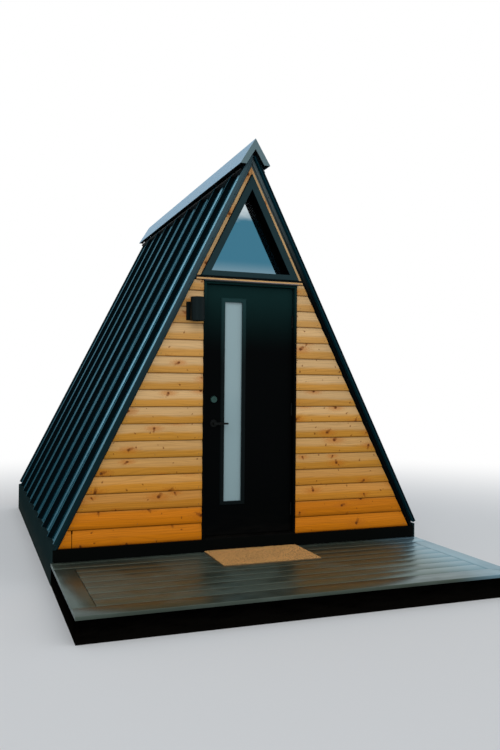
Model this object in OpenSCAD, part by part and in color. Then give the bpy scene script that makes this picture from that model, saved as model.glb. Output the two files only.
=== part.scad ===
// A-frame cabin with a boarded gable, a black seamed roof, an out-swing door and a front deck.
// Frame: X to the right, Y into the building, Z up, millimetres.
// Origin: on the ground under the ridge, in the plane of the front boards.

/* [Gable] */
// Slope of the roof in degrees
roof_slope = 63.435; // [60:0.005:66]
// Width of the boards that is left beside the upper corner of the doorway
head_margin = 62; // [55:1:160]
// Length from the front boards to the rear boards
body_length = 3628; // [2400:1:6000]
// Height of the floor and of the foot of the boards above the ground
floor_height = 260; // [220:1:420]
// Thickness of the boards
board_thick = 18; // [12:1:24]
// Depth of the wall frame behind the boards
frame_depth = 113; // [90:1:140]

/* [Roof] */
// Depth of the roof panel inside the edge of the boards
panel_inside = 54; // [40:1:56]
// Depth of the roof panel outside the edge of the boards
panel_outside = 35; // [30:1:50]
// Thickness of the inner lining
lining_thick = 9; // [6:1:18]
// Overhang of the roof sheet beyond the boards at each end
overhang = 55; // [40:1:90]
// Height of a standing seam
seam_height = 42; // [25:1:50]
// Width of a standing seam
seam_width = 12; // [8:1:20]
// Spacing of the seams
seam_pitch = 434; // [300:1:600]
// Place of the first seam behind the front boards
seam_first = 209; // [100:1:400]
// Thickness of the roof sheet
sheet_thick = 3; // [2:0.5:5]
// Height of the raised edge at each end of the roof sheet
edge_height = 22; // [10:1:25]
// Width of the raised edge at each end of the roof sheet
edge_width = 30; // [20:1:38]
// Distance along the slope from the foot of the boards to the eave
eave_start = 30; // [20:1:60]

/* [Ridge cap] */
// Slope of the cap in degrees, a little less than the roof's
cap_slope = 58.5; // [56:0.5:60]
// Half width of the cap at its lower edges
cap_half = 130; // [115:1:150]
// Height of the cap's underside over the seams at the ridge
cap_lift = 20; // [8:1:30]
// Width of the folded face at each end of the cap
cap_face = 45; // [35:1:60]
// Distance of the cap's ends beyond the boards
cap_overhang = 92; // [80:1:140]
// Thickness of the cap
cap_thick = 2.5; // [2:0.5:4]
// Half width of the vent strip that carries the cap on the seams
vent_half = 80; // [60:1:100]

/* [Base] */
// Distance of the base's front face in front of the boards
base_front_out = 20; // [10:1:30]
// Thickness of the side skirts
skirt_thick = 13; // [10:1:20]
// Thickness of the floor
floor_thick = 25; // [18:1:30]
// Thickness of a joist or rim board
joist_thick = 38; // [35:1:45]
// Height of a floor joist
joist_height = 184; // [140:1:190]
// Spacing of the floor joists
joist_pitch = 406; // [400:1:480]

/* [Door] */
// Place of the doorway's centre to the right of the ridge
door_x = 10; // [-20:1:20]
// Width of the door
door_width = 762; // [700:1:766]
// Height of the door
door_height = 2032; // [1980:1:2036]
// Thickness of the door
door_thick = 44; // [40:1:48]
// Gap all round the door
door_gap = 5; // [5:0.5:6]
// Width of a jamb's face
jamb_face = 22; // [20:1:26]
// Distance of the jamb's face in front of the boards
jamb_out = 8; // [4:1:14]
// Distance of the door's face behind the plane of the boards
door_recess = 30; // [28:1:34]
// Height of the threshold
threshold_height = 20; // [15:1:24]
// Width of the glass that shows in the door
lite_width = 152; // [120:1:160]
// Height of the door above the glass that shows
lite_rail = 135; // [125:1:360]
// Height of the glass's lower edge above the floor
lite_sill = 295; // [280:1:310]
// Place of the glass's centre to the left of the door's centre
lite_offset = 144; // [130:1:160]
// Width of the raised frame round the glass
lite_frame = 34; // [28:1:38]
// Distance of the lever and the deadbolt from the door's closing edge
backset = 70; // [60:1:75]
// Height of the lever above the floor
lever_rise = 930; // [900:1:1000]
// Height of the deadbolt above the floor
deadbolt_rise = 1125; // [1100:1:1180]
// Length of the lever
lever_length = 116; // [100:1:125]
// Height of the lowest hinge's middle above the foot of the door
hinge_low = 180; // [150:1:240]
// Distance of the highest hinge's middle below the top of the door
hinge_high = 282; // [200:1:340]

/* [Window] */
// Distance of the window frame inside the edge of the boards
window_inset = 30; // [26:1:34]
// Width of the window frame's sloping face
window_face = 56; // [52:1:60]
// Height of the window frame's bottom face
window_rail = 44; // [40:1:50]
// Gap between the ledge over the doorway and the window's foot
window_gap = 13; // [10:1:40]
// Distance of the window frame's face in front of the boards
window_out = 25; // [15:1:30]

/* [Wall light] */
// Gap between the light's body and the door frame
light_gap = 18; // [18:1:30]
// Distance of the light's middle below the top of the door frame
light_drop = 244; // [230:1:300]
// Diameter of the light's body
light_dia = 114; // [90:1:116]
// Height of the light's body
light_height = 188; // [150:1:200]
// Distance of the light's axis from the boards
light_reach = 75; // [72:1:90]
// Side of the light's square back plate
plate_size = 148; // [120:1:150]
// Thickness of the light's back plate
plate_thick = 12; // [8:1:14]

/* [Deck] */
// Distance of the deck's front edge from the boards
deck_depth = 1369; // [900:1:1800]
// Height of the deck's top
deck_height = 166; // [150:1:200]
// Thickness of the deck boards
deck_board = 25; // [20:1:30]
// Width of the door mat
mat_width = 800; // [600:1:900]
// Depth of the door mat
mat_depth = 510; // [400:1:600]
// Thickness of the door mat
mat_thick = 15; // [10:1:20]

/* [Hidden] */
smooth = 48;
slope = roof_slope;

// Doorway
door_bottom = floor_height + threshold_height + door_gap;
door_top = door_bottom + door_height;
frame_in = door_width / 2 + door_gap;
frame_out = frame_in + jamb_face;
head_bottom = door_top + door_gap;
head_top = head_bottom + 26;
slab_front = door_recess;
slab_back = door_recess + door_thick;
stop_front = slab_back + door_gap;
stop_thick = 12;
lock_x = -door_width / 2 + backset;
lever_z = floor_height + lever_rise;
deadbolt_z = floor_height + deadbolt_rise;
lite_x = -lite_offset;
lite_bottom = floor_height + lite_sill;
lite_height = door_top - lite_rail - lite_bottom;
lite_hold = 12;
lite_groove = 6;
lite_proud = 8;
glass_half_thick = 10;

// The boarded triangle is as wide and as high as the doorway under the slope needs
gable_half = abs(door_x) + frame_out + head_margin + (head_top - floor_height) / tan(slope);
gable_height = gable_half * tan(slope);
rear = body_length;
wall_back = board_thick + frame_depth;
joist_bottom = floor_height - floor_thick - joist_height;
joist_play = 0.5;
base_half = gable_half + panel_outside / sin(slope);
deck_half = base_half + skirt_thick;
eave_wedge = skirt_thick + 15;

// The edge of the boards, and the walls and the window inside the roof panels, stand this clear
edge_play = 0.3;
board_edge = -edge_play;
wall_edge = -panel_inside - edge_play;

// Roof sections: distances are square to the slope, outward from the edge of the boards
sheet_play = 0.3;
sheet_under = panel_outside + sheet_play;
sheet_top = sheet_under + sheet_thick;
seam_top = sheet_top + seam_height;
edge_top = sheet_top + edge_height;
cap_ridge = floor_height + gable_height + seam_top / cos(slope) + cap_lift
    + cap_thick / cos(cap_slope);
cap_foot = cap_ridge - cap_half * tan(cap_slope);
cap_hem = 9;
slope_length = gable_height / sin(slope);
sheet_end = slope_length + sheet_under * tan(slope) - 8;
seam_count = floor((rear + overhang - edge_width - seam_first) / seam_pitch) + 1;
rake_recess = 12;
rake_out = 12;
rake_back = 8;
hem = 2;

// Hinges
pin_x = frame_in - 9;
pin_y = slab_front - 7;
knuckle_radius = 6.5;
pin_radius = 3;
pin_play = 0.25;
pin_tip = 5;
hinge_height = 102;
knuckles = 5;
knuckle_height = hinge_height / knuckles;
knuckle_play = 0.5;
hub_radius = 10;
leaf_thick = 2;
leaf_depth = 40;
leaf_front = slab_front + 3;
hinge_rises = [
    door_bottom + hinge_low,
    door_bottom + door_height / 2,
    door_top - hinge_high];

// Lath and flashing over the doorway
cap_strip = 6;
ledge_bottom = head_top + cap_strip;
ledge_top = ledge_bottom + 16;
ledge_out = 14;

// Window in the gable
window_outer = -window_inset;
window_inner = -window_inset - window_face;
window_foot = ledge_top + window_gap;
window_opening = window_foot + window_rail;
window_step = 4;
glass_front = 106;
glass_thick = 18;
bead_depth = 12;
stop_width = 10;

// Wall light
light_x = frame_out - door_x + light_gap + light_dia / 2;
light_z = head_top - light_drop;
light_well = 30;
light_wall = 4;
arm_seat = 6;
arm_half = 25;
arm_top = 18;
arm_bottom = 42;

// Half width, from the ridge, of the slope line at this distance and height
function edge_x(off, z) =
    gable_half + off / sin(slope) - (z - floor_height) / tan(slope);
// Height of the apex of the slope line at this distance
function apex_z(off) = floor_height + gable_height + off / cos(slope);
// Triangle of the slope lines at this distance, from height z upward
function gable(off, z) = [[-edge_x(off, z), z], [edge_x(off, z), z], [0, apex_z(off)]];

// Extrudes an XZ outline from y0 to y1
module along_y(y0, y1) {
    translate([0, y1, 0])
        rotate([90, 0, 0])
            linear_extrude(height = y1 - y0)
                children();
}

// Extrudes a YZ outline from x0 to x1
module along_x(x0, x1) {
    translate([x0, 0, 0])
        rotate([90, 0, 90])
            linear_extrude(height = x1 - x0)
                children();
}

// Round bar along Y, from y0 to y1, centred on x and z
module bar_y(x, z, radius, y0, y1) {
    translate([x, y1, z])
        rotate([90, 0, 0])
            cylinder(h = y1 - y0, r = radius, $fn = smooth);
}

// Turns an outline of radius and height about Y: side 1 rises to the front, side -1 to the back
module turned_y(x, y, z, side) {
    translate([x, y, z])
        rotate([90 * side, 0, 0])
            rotate_extrude($fn = smooth)
                children();
}

// Block between two corners
module block(low, high) {
    translate(low)
        cube(high - low);
}

// Half of a chevron between two slope lines, on the left side, cut at height z and at the ridge
module half_band(inner, outer, z) {
    polygon([
        [-edge_x(inner, z), z],
        [-edge_x(outer, z), z],
        [0, apex_z(outer)],
        [0, apex_z(inner)]]);
}

// Copies a left-hand part to the right
module right_hand() {
    mirror([1, 0, 0])
        children();
}

// Puts a part into the doorway
module at_door() {
    translate([door_x, 0, 0])
        children();
}

// Base
module base_front() {
    color("#141617")
        block([-base_half, -base_front_out, 0], [base_half, board_thick, floor_height]);
}

module base_rear() {
    color("#141617")
        block(
            [-base_half, rear - board_thick, 0],
            [base_half, rear + base_front_out, floor_height]);
}

module floor_frame() {
    y0 = board_thick;
    y1 = rear - board_thick;
    top = floor_height - floor_thick;
    joist_end = base_half - joist_thick - joist_play;
    count = floor((y1 - y0 - joist_thick) / joist_pitch);
    color("burlywood") {
        for (side = [-1, 1])
            translate([side * (base_half - joist_thick / 2), 0, 0])
                block([-joist_thick / 2, y0, 0], [joist_thick / 2, y1, top]);
        for (i = [0:count])
            block(
                [-joist_end, y0 + i * joist_pitch, joist_bottom],
                [joist_end, y0 + i * joist_pitch + joist_thick, top]);
    }
}

module floor() {
    color("tan")
        block(
            [-base_half, board_thick, floor_height - floor_thick],
            [base_half, rear - board_thick, floor_height]);
}

// Skirt board with a sloping top that closes the wedge under the eave
module skirt_left() {
    outer = base_half + skirt_thick;
    wedge_top = floor_height + eave_wedge + 4;
    color("#3c4b4b")
        along_y(-base_front_out, rear + base_front_out)
            polygon([
                [-base_half, 0],
                [-outer, 0],
                [-outer, floor_height + eave_wedge - 4],
                [-edge_x(panel_outside, wedge_top), wedge_top],
                [-base_half, floor_height]]);
}

module skirt_right() {
    right_hand()
        skirt_left();
}

// Walls
module front_wall_left() {
    inner = frame_out - door_x;
    color("burlywood")
        along_y(board_thick, wall_back)
            polygon([
                [-edge_x(wall_edge, floor_height), floor_height],
                [-inner, floor_height],
                [-inner, head_top],
                [-edge_x(wall_edge, head_top), head_top]]);
}

module front_wall_right() {
    inner = frame_out + door_x;
    color("burlywood")
        along_y(board_thick, wall_back)
            polygon([
                [inner, floor_height],
                [edge_x(wall_edge, floor_height), floor_height],
                [edge_x(wall_edge, head_top), head_top],
                [inner, head_top]]);
}

module front_wall_header() {
    top = window_opening - (-window_inner - panel_inside);
    low_x = edge_x(wall_edge, head_top);
    high_x = edge_x(wall_edge, top);
    color("burlywood")
        along_y(board_thick, wall_back)
            polygon([[-low_x, head_top], [low_x, head_top], [high_x, top], [-high_x, top]]);
}

module rear_wall() {
    color("burlywood")
        along_y(rear - wall_back, rear - board_thick)
            polygon(gable(wall_edge, floor_height));
}

// Boards as plain sheets
module siding_front_left() {
    inner = frame_out - door_x;
    color("#c98a45")
        along_y(0, board_thick)
            polygon([
                [-edge_x(board_edge, floor_height), floor_height],
                [-inner, floor_height],
                [-inner, head_top],
                [-edge_x(board_edge, head_top), head_top]]);
}

module siding_front_right() {
    inner = frame_out + door_x;
    color("#c98a45")
        along_y(0, board_thick)
            polygon([
                [inner, floor_height],
                [edge_x(board_edge, floor_height), floor_height],
                [edge_x(board_edge, head_top), head_top],
                [inner, head_top]]);
}

module siding_gable_top() {
    color("#c99a62")
        along_y(0, board_thick)
            difference() {
                polygon(gable(board_edge, head_top));
                polygon(gable(window_outer, window_foot));
            }
}

module siding_rear() {
    color("#c98a45")
        along_y(rear - board_thick, rear)
            polygon(gable(board_edge, floor_height));
}

// Roof
module roof_panel_left() {
    color("burlywood")
        along_y(board_thick, rear - board_thick)
            half_band(-panel_inside, panel_outside, floor_height);
}

module roof_panel_right() {
    right_hand()
        roof_panel_left();
}

module lining_left() {
    color("tan")
        along_y(wall_back, rear - wall_back)
            half_band(-panel_inside - lining_thick, -panel_inside, floor_height);
}

module lining_right() {
    right_hand()
        lining_left();
}

// Raised edge of the sheet over the rake: an upright face, a flat top and a sloping inner side
module sheet_edge() {
    polygon([
        [0, sheet_under],
        [0, edge_top - hem],
        [hem, edge_top],
        [edge_width - 10, edge_top],
        [edge_width, sheet_top],
        [edge_width, sheet_under]]);
}

// Half of a standing seam: a flared foot, a slim leg and a folded head
module half_seam() {
    half = seam_width / 2;
    leg = seam_width / 4;
    fold = seam_height / 3;
    polygon([
        [0, sheet_under],
        [half + leg, sheet_under],
        [half + leg, sheet_top],
        [leg, sheet_top + leg],
        [leg, seam_top - fold],
        [half, seam_top - fold + leg],
        [half, seam_top - hem],
        [half - hem, seam_top],
        [0, seam_top]]);
}

// Section of the sheet across the slope: flat pans, standing seams and a raised edge at each end
module sheet_section() {
    y0 = -overhang;
    y1 = rear + overhang;
    translate([y0, sheet_under])
        square([y1 - y0, sheet_thick]);
    translate([y0, 0])
        sheet_edge();
    translate([y1, 0])
        mirror([1, 0])
            sheet_edge();
    for (i = [0:seam_count - 1])
        translate([seam_first + i * seam_pitch, 0]) {
            half_seam();
            mirror([1, 0])
                half_seam();
        }
}

module roof_sheet_left() {
    color("#0f1c20")
        translate([-gable_half, 0, floor_height])
            rotate([0, 90 - slope, 0])
                translate([0, 0, eave_start])
                    linear_extrude(height = sheet_end - eave_start)
                        rotate([0, 0, 90])
                            sheet_section();
}

module roof_sheet_right() {
    right_hand()
        roof_sheet_left();
}

// Height of the cap's upper face at this distance from the ridge
function cap_z(x) = cap_ridge - x * tan(cap_slope);

// Left leg of the cap: a sheet with a hem turned in at its lower edge
module cap_leg() {
    drop = cap_thick / cos(cap_slope);
    polygon([
        [0, cap_ridge],
        [-cap_half, cap_foot],
        [-cap_half + cap_hem, cap_foot],
        [-cap_half + cap_hem, cap_foot + cap_thick],
        [-cap_half + 2 * cap_thick, cap_foot + cap_thick],
        [-cap_half + 2 * cap_thick, cap_z(cap_half - 2 * cap_thick) - drop],
        [0, cap_ridge - drop]]);
}

// Left half of the folded end face, with its lower end cut level
module cap_end() {
    polygon([
        [0, cap_ridge],
        [-cap_half, cap_foot],
        [-cap_half + cap_face / sin(cap_slope), cap_foot],
        [0, cap_ridge - cap_face / cos(cap_slope)]]);
}

// Left half of the vent strip between the seams and the cap
module cap_vent() {
    seam_z = apex_z(seam_top + sheet_play);
    middle = cap_thick / cos(cap_slope) / 2;
    polygon([
        [0, cap_ridge - middle],
        [-vent_half, cap_z(vent_half) - middle],
        [-vent_half, seam_z - vent_half * tan(slope)],
        [0, seam_z]]);
}

module ridge_cap() {
    y0 = -cap_overhang;
    y1 = rear + cap_overhang;
    color("#9fb2bf")
        for (side = [0, 1])
            mirror([side, 0, 0]) {
                along_y(y0, y1)
                    cap_leg();
                along_y(y0, y0 + cap_thick)
                    cap_end();
                along_y(y1 - cap_thick, y1)
                    cap_end();
                along_y(-overhang, rear + overhang)
                    cap_vent();
            }
}

// Trim along the slope: a deep recess beside the boards and a face that stands forward
module rake_trim_front_left() {
    color("#23282a") {
        along_y(rake_back, board_thick)
            half_band(0, panel_outside, floor_height);
        along_y(-rake_out, rake_back)
            half_band(rake_recess, panel_outside, floor_height);
    }
}

module rake_trim_front_right() {
    right_hand()
        rake_trim_front_left();
}

module rake_trim_rear() {
    color("#23282a")
        translate([0, rear, 0])
            mirror([0, 1, 0]) {
                rake_trim_front_left();
                rake_trim_front_right();
            }
}

// Lath over the doorway with a weathered top, from slope to slope
module gable_ledge() {
    reach = edge_x(0, ledge_bottom) - rake_recess;
    color("#b58a55")
        along_x(-reach, reach)
            polygon([
                [0, ledge_bottom],
                [-ledge_out, ledge_bottom],
                [-ledge_out, ledge_top - 5],
                [-ledge_out + 2, ledge_top - 3],
                [0, ledge_top]]);
}

// Flashing with a sloping top and a turned-down lip in front of the door frame
module drip_cap() {
    out = 30;
    lip = 8;
    at_door()
        color("#8d8f9a")
            along_x(-frame_out - 4, frame_out + 4)
                polygon([
                    [0, head_top],
                    [-out + hem, head_top],
                    [-out + hem, head_top - lip],
                    [-out, head_top - lip],
                    [-out, ledge_bottom - hem],
                    [0, ledge_bottom]]);
}

// Plan of a jamb on the right, with its stop, and with its front edges eased
module jamb_plan() {
    ease = 2;
    polygon([
        [frame_in, -jamb_out + ease],
        [frame_in + ease, -jamb_out],
        [frame_out - ease, -jamb_out],
        [frame_out, -jamb_out + ease],
        [frame_out, wall_back],
        [frame_in - stop_thick, wall_back],
        [frame_in - stop_thick, stop_front + ease],
        [frame_in - stop_thick + ease, stop_front],
        [frame_in, stop_front]]);
}

// Door frame with its stops
module door_frame() {
    ease = 2;
    color("#1a1e20")
        at_door() {
            for (side = [0, 1])
                mirror([side, 0, 0])
                    translate([0, 0, floor_height])
                        linear_extrude(height = head_top - floor_height)
                            jamb_plan();
            along_x(-frame_in, frame_in)
                polygon([
                    [-jamb_out + ease, head_bottom],
                    [stop_front, head_bottom],
                    [stop_front, head_bottom - stop_thick + ease],
                    [stop_front + ease, head_bottom - stop_thick],
                    [wall_back, head_bottom - stop_thick],
                    [wall_back, head_top],
                    [-jamb_out, head_top],
                    [-jamb_out, head_bottom + ease]]);
        }
}

// Sill under the door: a sloping nose, three grooves under the door and a flat saddle
module threshold() {
    top = floor_height + threshold_height;
    nose = threshold_height / 2;
    groove = 3;
    at_door()
        color("#1a1c1d") {
            difference() {
                along_x(-frame_in, frame_in)
                    polygon([
                        [-base_front_out, floor_height],
                        [stop_front, floor_height],
                        [stop_front, top],
                        [slab_front - 24, top],
                        [-base_front_out + 3, top - nose],
                        [-base_front_out, top - nose - 3]]);
                for (i = [0:2])
                    translate([0, slab_front - 18 + 3 * i * groove, 0])
                        block(
                            [-frame_in - 1, 0, top - groove / 2],
                            [frame_in + 1, groove, top + 1]);
            }
            block(
                [-frame_in + stop_thick, slab_back, floor_height],
                [frame_in - stop_thick, wall_back, top]);
        }
}

// Door
module door_slab() {
    hole_x = lite_width / 2 + lite_hold;
    half = door_width / 2;
    color("#0e1011")
        at_door()
            difference() {
                block([-half, slab_front, door_bottom], [half, slab_back, door_top]);
                block(
                    [lite_x - hole_x, slab_front - 1, lite_bottom - lite_hold],
                    [lite_x + hole_x, slab_back + 1, lite_bottom + lite_height + lite_hold]);
                bar_y(lock_x, lever_z, 14, slab_front - 1, slab_back + 1);
            }
}

// Raised moulding round the glass on one face: y0 is the door's face, y1 its proud face
module lite_moulding(y0, y1) {
    half = lite_width / 2 + lite_frame;
    low = lite_bottom - lite_frame;
    high = lite_bottom + lite_height + lite_frame;
    bevel = 7;
    skin = 0.1 * sign(y1 - y0);
    hull() {
        along_y(min(y0, y0 + skin), max(y0, y0 + skin))
            polygon([[-half, low], [half, low], [half, high], [-half, high]]);
        along_y(min(y1 - skin, y1), max(y1 - skin, y1))
            polygon([
                [-half + bevel, low + bevel],
                [half - bevel, low + bevel],
                [half - bevel, high - bevel],
                [-half + bevel, high - bevel]]);
    }
}

// Bevelled frame on both faces, joined through the door, with a groove for the glass
module door_lite_frame() {
    hold = lite_hold;
    glass_half = lite_width / 2;
    low = lite_bottom;
    high = lite_bottom + lite_height;
    middle = (slab_front + slab_back) / 2;
    color("#0b0d0e")
        at_door()
            translate([lite_x, 0, 0])
                difference() {
                    union() {
                        lite_moulding(slab_front, slab_front - lite_proud);
                        block(
                            [-glass_half - hold, slab_front, low - hold],
                            [glass_half + hold, slab_back, high + hold]);
                        lite_moulding(slab_back, slab_back + lite_proud);
                    }
                    block([-glass_half, 0, low], [glass_half, slab_back + lite_proud + 1, high]);
                    block(
                        [-glass_half - lite_groove, middle - glass_half_thick, low - lite_groove],
                        [glass_half + lite_groove, middle + glass_half_thick, high + lite_groove]);
                }
}

module door_glass() {
    middle = (slab_front + slab_back) / 2;
    half = lite_width / 2 + lite_groove;
    color("#93a3a6")
        at_door()
            translate([lite_x, 0, 0])
                block(
                    [-half, middle - glass_half_thick, lite_bottom - lite_groove],
                    [half, middle + glass_half_thick, lite_bottom + lite_height + lite_groove]);
}

// Frame leaves of the hinges, with the pins, their tips and every other knuckle
module hinge_frame_side() {
    color("#2a2d2f")
        at_door()
            for (z = hinge_rises)
                translate([0, 0, z - hinge_height / 2]) {
                    block(
                        [frame_in - leaf_thick, leaf_front, 0],
                        [frame_in, slab_front + leaf_depth, hinge_height]);
                    for (k = [0:2:knuckles - 1])
                        translate([0, 0, k * knuckle_height]) {
                            translate([pin_x, pin_y, 0])
                                cylinder(h = knuckle_height, r = knuckle_radius, $fn = smooth);
                            block(
                                [frame_in - 2 * leaf_thick, pin_y - 2, 0],
                                [frame_in, leaf_front, knuckle_height]);
                        }
                    translate([pin_x, pin_y, 0])
                        cylinder(h = hinge_height, r = pin_radius, $fn = smooth);
                    translate([pin_x, pin_y, hinge_height])
                        cylinder(h = pin_tip, r1 = knuckle_radius - 1, r2 = 2, $fn = smooth);
                    translate([pin_x, pin_y, -pin_tip])
                        cylinder(h = pin_tip, r1 = 2, r2 = knuckle_radius - 1, $fn = smooth);
                }
}

// Door leaves of the hinges, with the knuckles between, bored for the pin
module hinge_door_side() {
    edge = door_width / 2;
    high = knuckle_height - 2 * knuckle_play;
    color("#2a2d2f")
        at_door()
            for (z = hinge_rises)
                translate([0, 0, z - hinge_height / 2])
                    difference() {
                        union() {
                            block(
                                [edge, leaf_front, 0],
                                [edge + leaf_thick, slab_front + leaf_depth, hinge_height]);
                            for (k = [1:2:knuckles - 1])
                                translate([0, 0, k * knuckle_height + knuckle_play]) {
                                    translate([pin_x, pin_y, 0])
                                        cylinder(h = high, r = knuckle_radius, $fn = smooth);
                                    block([edge, pin_y, 0], [edge + leaf_thick, leaf_front, high]);
                                }
                        }
                        translate([pin_x, pin_y, -1])
                            cylinder(
                                h = hinge_height + 2,
                                r = pin_radius + pin_play,
                                $fn = smooth);
                    }
}

// Roses of the lever on both faces of the door, with bevelled rims
module lock_roses() {
    radius = 33;
    bore = hub_radius + 0.4;
    deep = 9;
    rim = 4;
    color("#1c1f21")
        at_door()
            for (face = [[slab_front, 1], [slab_back, -1]])
                turned_y(lock_x, face[0], lever_z, face[1])
                    polygon([
                        [bore, 0],
                        [radius, 0],
                        [radius, rim],
                        [radius - rim, deep],
                        [bore, deep]]);
}

// One lever: a tapered bar with a round tip that turns in towards the door
module lever_arm(y0, y1, turn) {
    tip_radius = 7.5;
    tip_x = lock_x + lever_length - tip_radius;
    hull() {
        bar_y(lock_x, lever_z, hub_radius, y0, y1);
        bar_y(tip_x, lever_z, tip_radius, y0 + 1, y1 - 1);
    }
    hull() {
        bar_y(tip_x, lever_z, tip_radius, y0 + 1, y1 - 1);
        bar_y(tip_x, lever_z, tip_radius - 1, y0 + 1 + turn, y1 - 1 + turn);
    }
}

// Levers on both faces, joined by the spindle through the door
module lever() {
    out = 44;
    bar = 14;
    turn = 10;
    color("#1c1f21")
        at_door() {
            bar_y(lock_x, lever_z, hub_radius, slab_front - out, slab_back + out);
            lever_arm(slab_front - out - 6, slab_front - out - 6 + bar, turn);
            lever_arm(slab_back + out + 6 - bar, slab_back + out + 6, -turn);
        }
}

// Deadbolt: the tapered cylinder outside and the thumb turn inside
module deadbolt() {
    radius = 30;
    out = 16;
    plug = 12;
    back = 10;
    turn_half = 14;
    color("#23272a")
        at_door() {
            difference() {
                turned_y(lock_x, slab_front, deadbolt_z, 1)
                    polygon([
                        [0, 0],
                        [radius, 0],
                        [radius, 3],
                        [radius - 5, out],
                        [plug + 1, out],
                        [plug, out - 2],
                        [0, out - 2]]);
                block(
                    [lock_x - 1.2, slab_front - out - 1, deadbolt_z - 5],
                    [lock_x + 1.2, slab_front - out + 5, deadbolt_z + 5]);
            }
            turned_y(lock_x, slab_back, deadbolt_z, -1)
                polygon([[0, 0], [radius, 0], [radius, 6], [radius - 4, back], [0, back]]);
            translate([0, slab_back + back, 0])
                along_y(0, 16)
                    hull()
                        for (side = [-1, 1])
                            translate([lock_x, deadbolt_z + side * turn_half])
                                circle(r = 5, $fn = 24);
        }
}

// Window: a stepped face on the boards and a deep frame back to the glass between two beads
module window_frame() {
    inner = gable(window_inner, window_opening);
    bead = gable(window_inner - stop_width, window_opening + stop_width);
    color("#20262a") {
        along_y(-window_out, board_thick)
            difference() {
                polygon(gable(window_outer - window_step, window_foot + window_step));
                polygon(inner);
            }
        along_y(-window_out + window_step, board_thick)
            difference() {
                polygon(gable(window_outer, window_foot));
                polygon(inner);
            }
        along_y(board_thick, wall_back)
            difference() {
                polygon(gable(
                    wall_edge,
                    window_opening - (-window_inner - panel_inside)));
                polygon(inner);
            }
        along_y(glass_front - bead_depth, glass_front)
            difference() {
                polygon(inner);
                polygon(bead);
            }
        along_y(glass_front + glass_thick, wall_back)
            difference() {
                polygon(inner);
                polygon(bead);
            }
    }
}

module window_glass() {
    color("#3f5f6c")
        along_y(glass_front, glass_front + glass_thick)
            polygon(gable(window_inner, window_opening));
}

// Wall light: a bevelled back plate with a chamfered arm
module light_plate() {
    z = light_z - (arm_bottom - arm_top) / 2;
    arm = light_reach - light_dia / 2 + arm_seat;
    arm_height = (arm_bottom + arm_top) / 2;
    half = plate_size / 2;
    rim = plate_thick / 2;
    ease = 8;
    color("#15181a")
        translate([-light_x, 0, z]) {
            hull() {
                block([-half, -rim, -half], [half, 0, half]);
                block([-half + rim, -plate_thick, -half + rim], [half - rim, 0, half - rim]);
            }
            along_y(-arm, -rim)
                polygon([
                    [-arm_half, -arm_height + ease],
                    [-arm_half + ease, -arm_height],
                    [arm_half - ease, -arm_height],
                    [arm_half, -arm_height + ease],
                    [arm_half, arm_height - ease],
                    [arm_half - ease, arm_height],
                    [-arm_half + ease, arm_height],
                    [-arm_half, arm_height - ease]]);
        }
}

// Turned body with rounded rims and a conical well at each end
module light_body() {
    radius = light_dia / 2;
    inside = radius - light_wall;
    floor_radius = inside - 14;
    rim = 1.5;
    high = light_height;
    color("#15181a")
        translate([-light_x, -light_reach, light_z - high / 2])
            difference() {
                rotate_extrude($fn = 64)
                    polygon([
                        [0, light_well],
                        [floor_radius, light_well],
                        [inside, 2],
                        [inside, 0],
                        [radius - rim, 0],
                        [radius, rim],
                        [radius, high - rim],
                        [radius - rim, high],
                        [inside, high],
                        [inside, high - 2],
                        [floor_radius, high - light_well],
                        [0, high - light_well]]);
                block(
                    [-arm_half, radius - arm_seat, high / 2 - arm_bottom],
                    [arm_half, light_reach, high / 2 + arm_top]);
            }
}

// Deck
module deck_fascia_front() {
    color("#101213")
        block(
            [-deck_half + 3, -deck_depth + 3, 0],
            [deck_half - 3, -deck_depth + 3 + deck_board, deck_height - deck_board]);
}

module deck_fascia_sides() {
    color("#101213")
        for (side = [-1, 1])
            translate([side * (deck_half - 3 - deck_board / 2), 0, 0])
                block(
                    [-deck_board / 2, -deck_depth + 3 + deck_board, 0],
                    [deck_board / 2, -base_front_out, deck_height - deck_board]);
}

module deck_joists() {
    inner = deck_half - 3 - deck_board;
    count = floor((2 * inner - joist_thick) / joist_pitch);
    pitch = (2 * inner - joist_thick) / count;
    color("burlywood")
        for (i = [0:count])
            block(
                [-inner + i * pitch, -deck_depth + 3 + deck_board, 0],
                [-inner + i * pitch + joist_thick, -base_front_out, deck_height - deck_board]);
}

module deck_boards() {
    color("#3a4745")
        block(
            [-deck_half, -deck_depth, deck_height - deck_board],
            [deck_half, -base_front_out, deck_height]);
}

module doormat() {
    gap = 6;
    color("#c89a62")
        translate([door_x, -base_front_out - gap, deck_height])
            block([-mat_width / 2, -mat_depth, 0], [mat_width / 2, 0, mat_thick]);
}

base_front();
base_rear();
floor_frame();
floor();
skirt_left();
skirt_right();
front_wall_left();
front_wall_right();
front_wall_header();
rear_wall();
siding_front_left();
siding_front_right();
siding_gable_top();
siding_rear();
roof_panel_left();
roof_panel_right();
lining_left();
lining_right();
roof_sheet_left();
roof_sheet_right();
ridge_cap();
rake_trim_front_left();
rake_trim_front_right();
rake_trim_rear();
gable_ledge();
drip_cap();
door_frame();
threshold();
door_slab();
door_lite_frame();
door_glass();
hinge_frame_side();
hinge_door_side();
lock_roses();
lever();
deadbolt();
window_frame();
window_glass();
light_plate();
light_body();
deck_fascia_front();
deck_fascia_sides();
deck_joists();
deck_boards();
doormat();
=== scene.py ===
"""Dresses an A-frame cabin: boards, door mat, fixings, finishes and a plain stage.

Lengths are metres. X runs to the right facing the door, Y into the building, Z up.
"""

import math
import random

import bmesh
import bpy
from mathutils import Matrix, Vector


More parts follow.
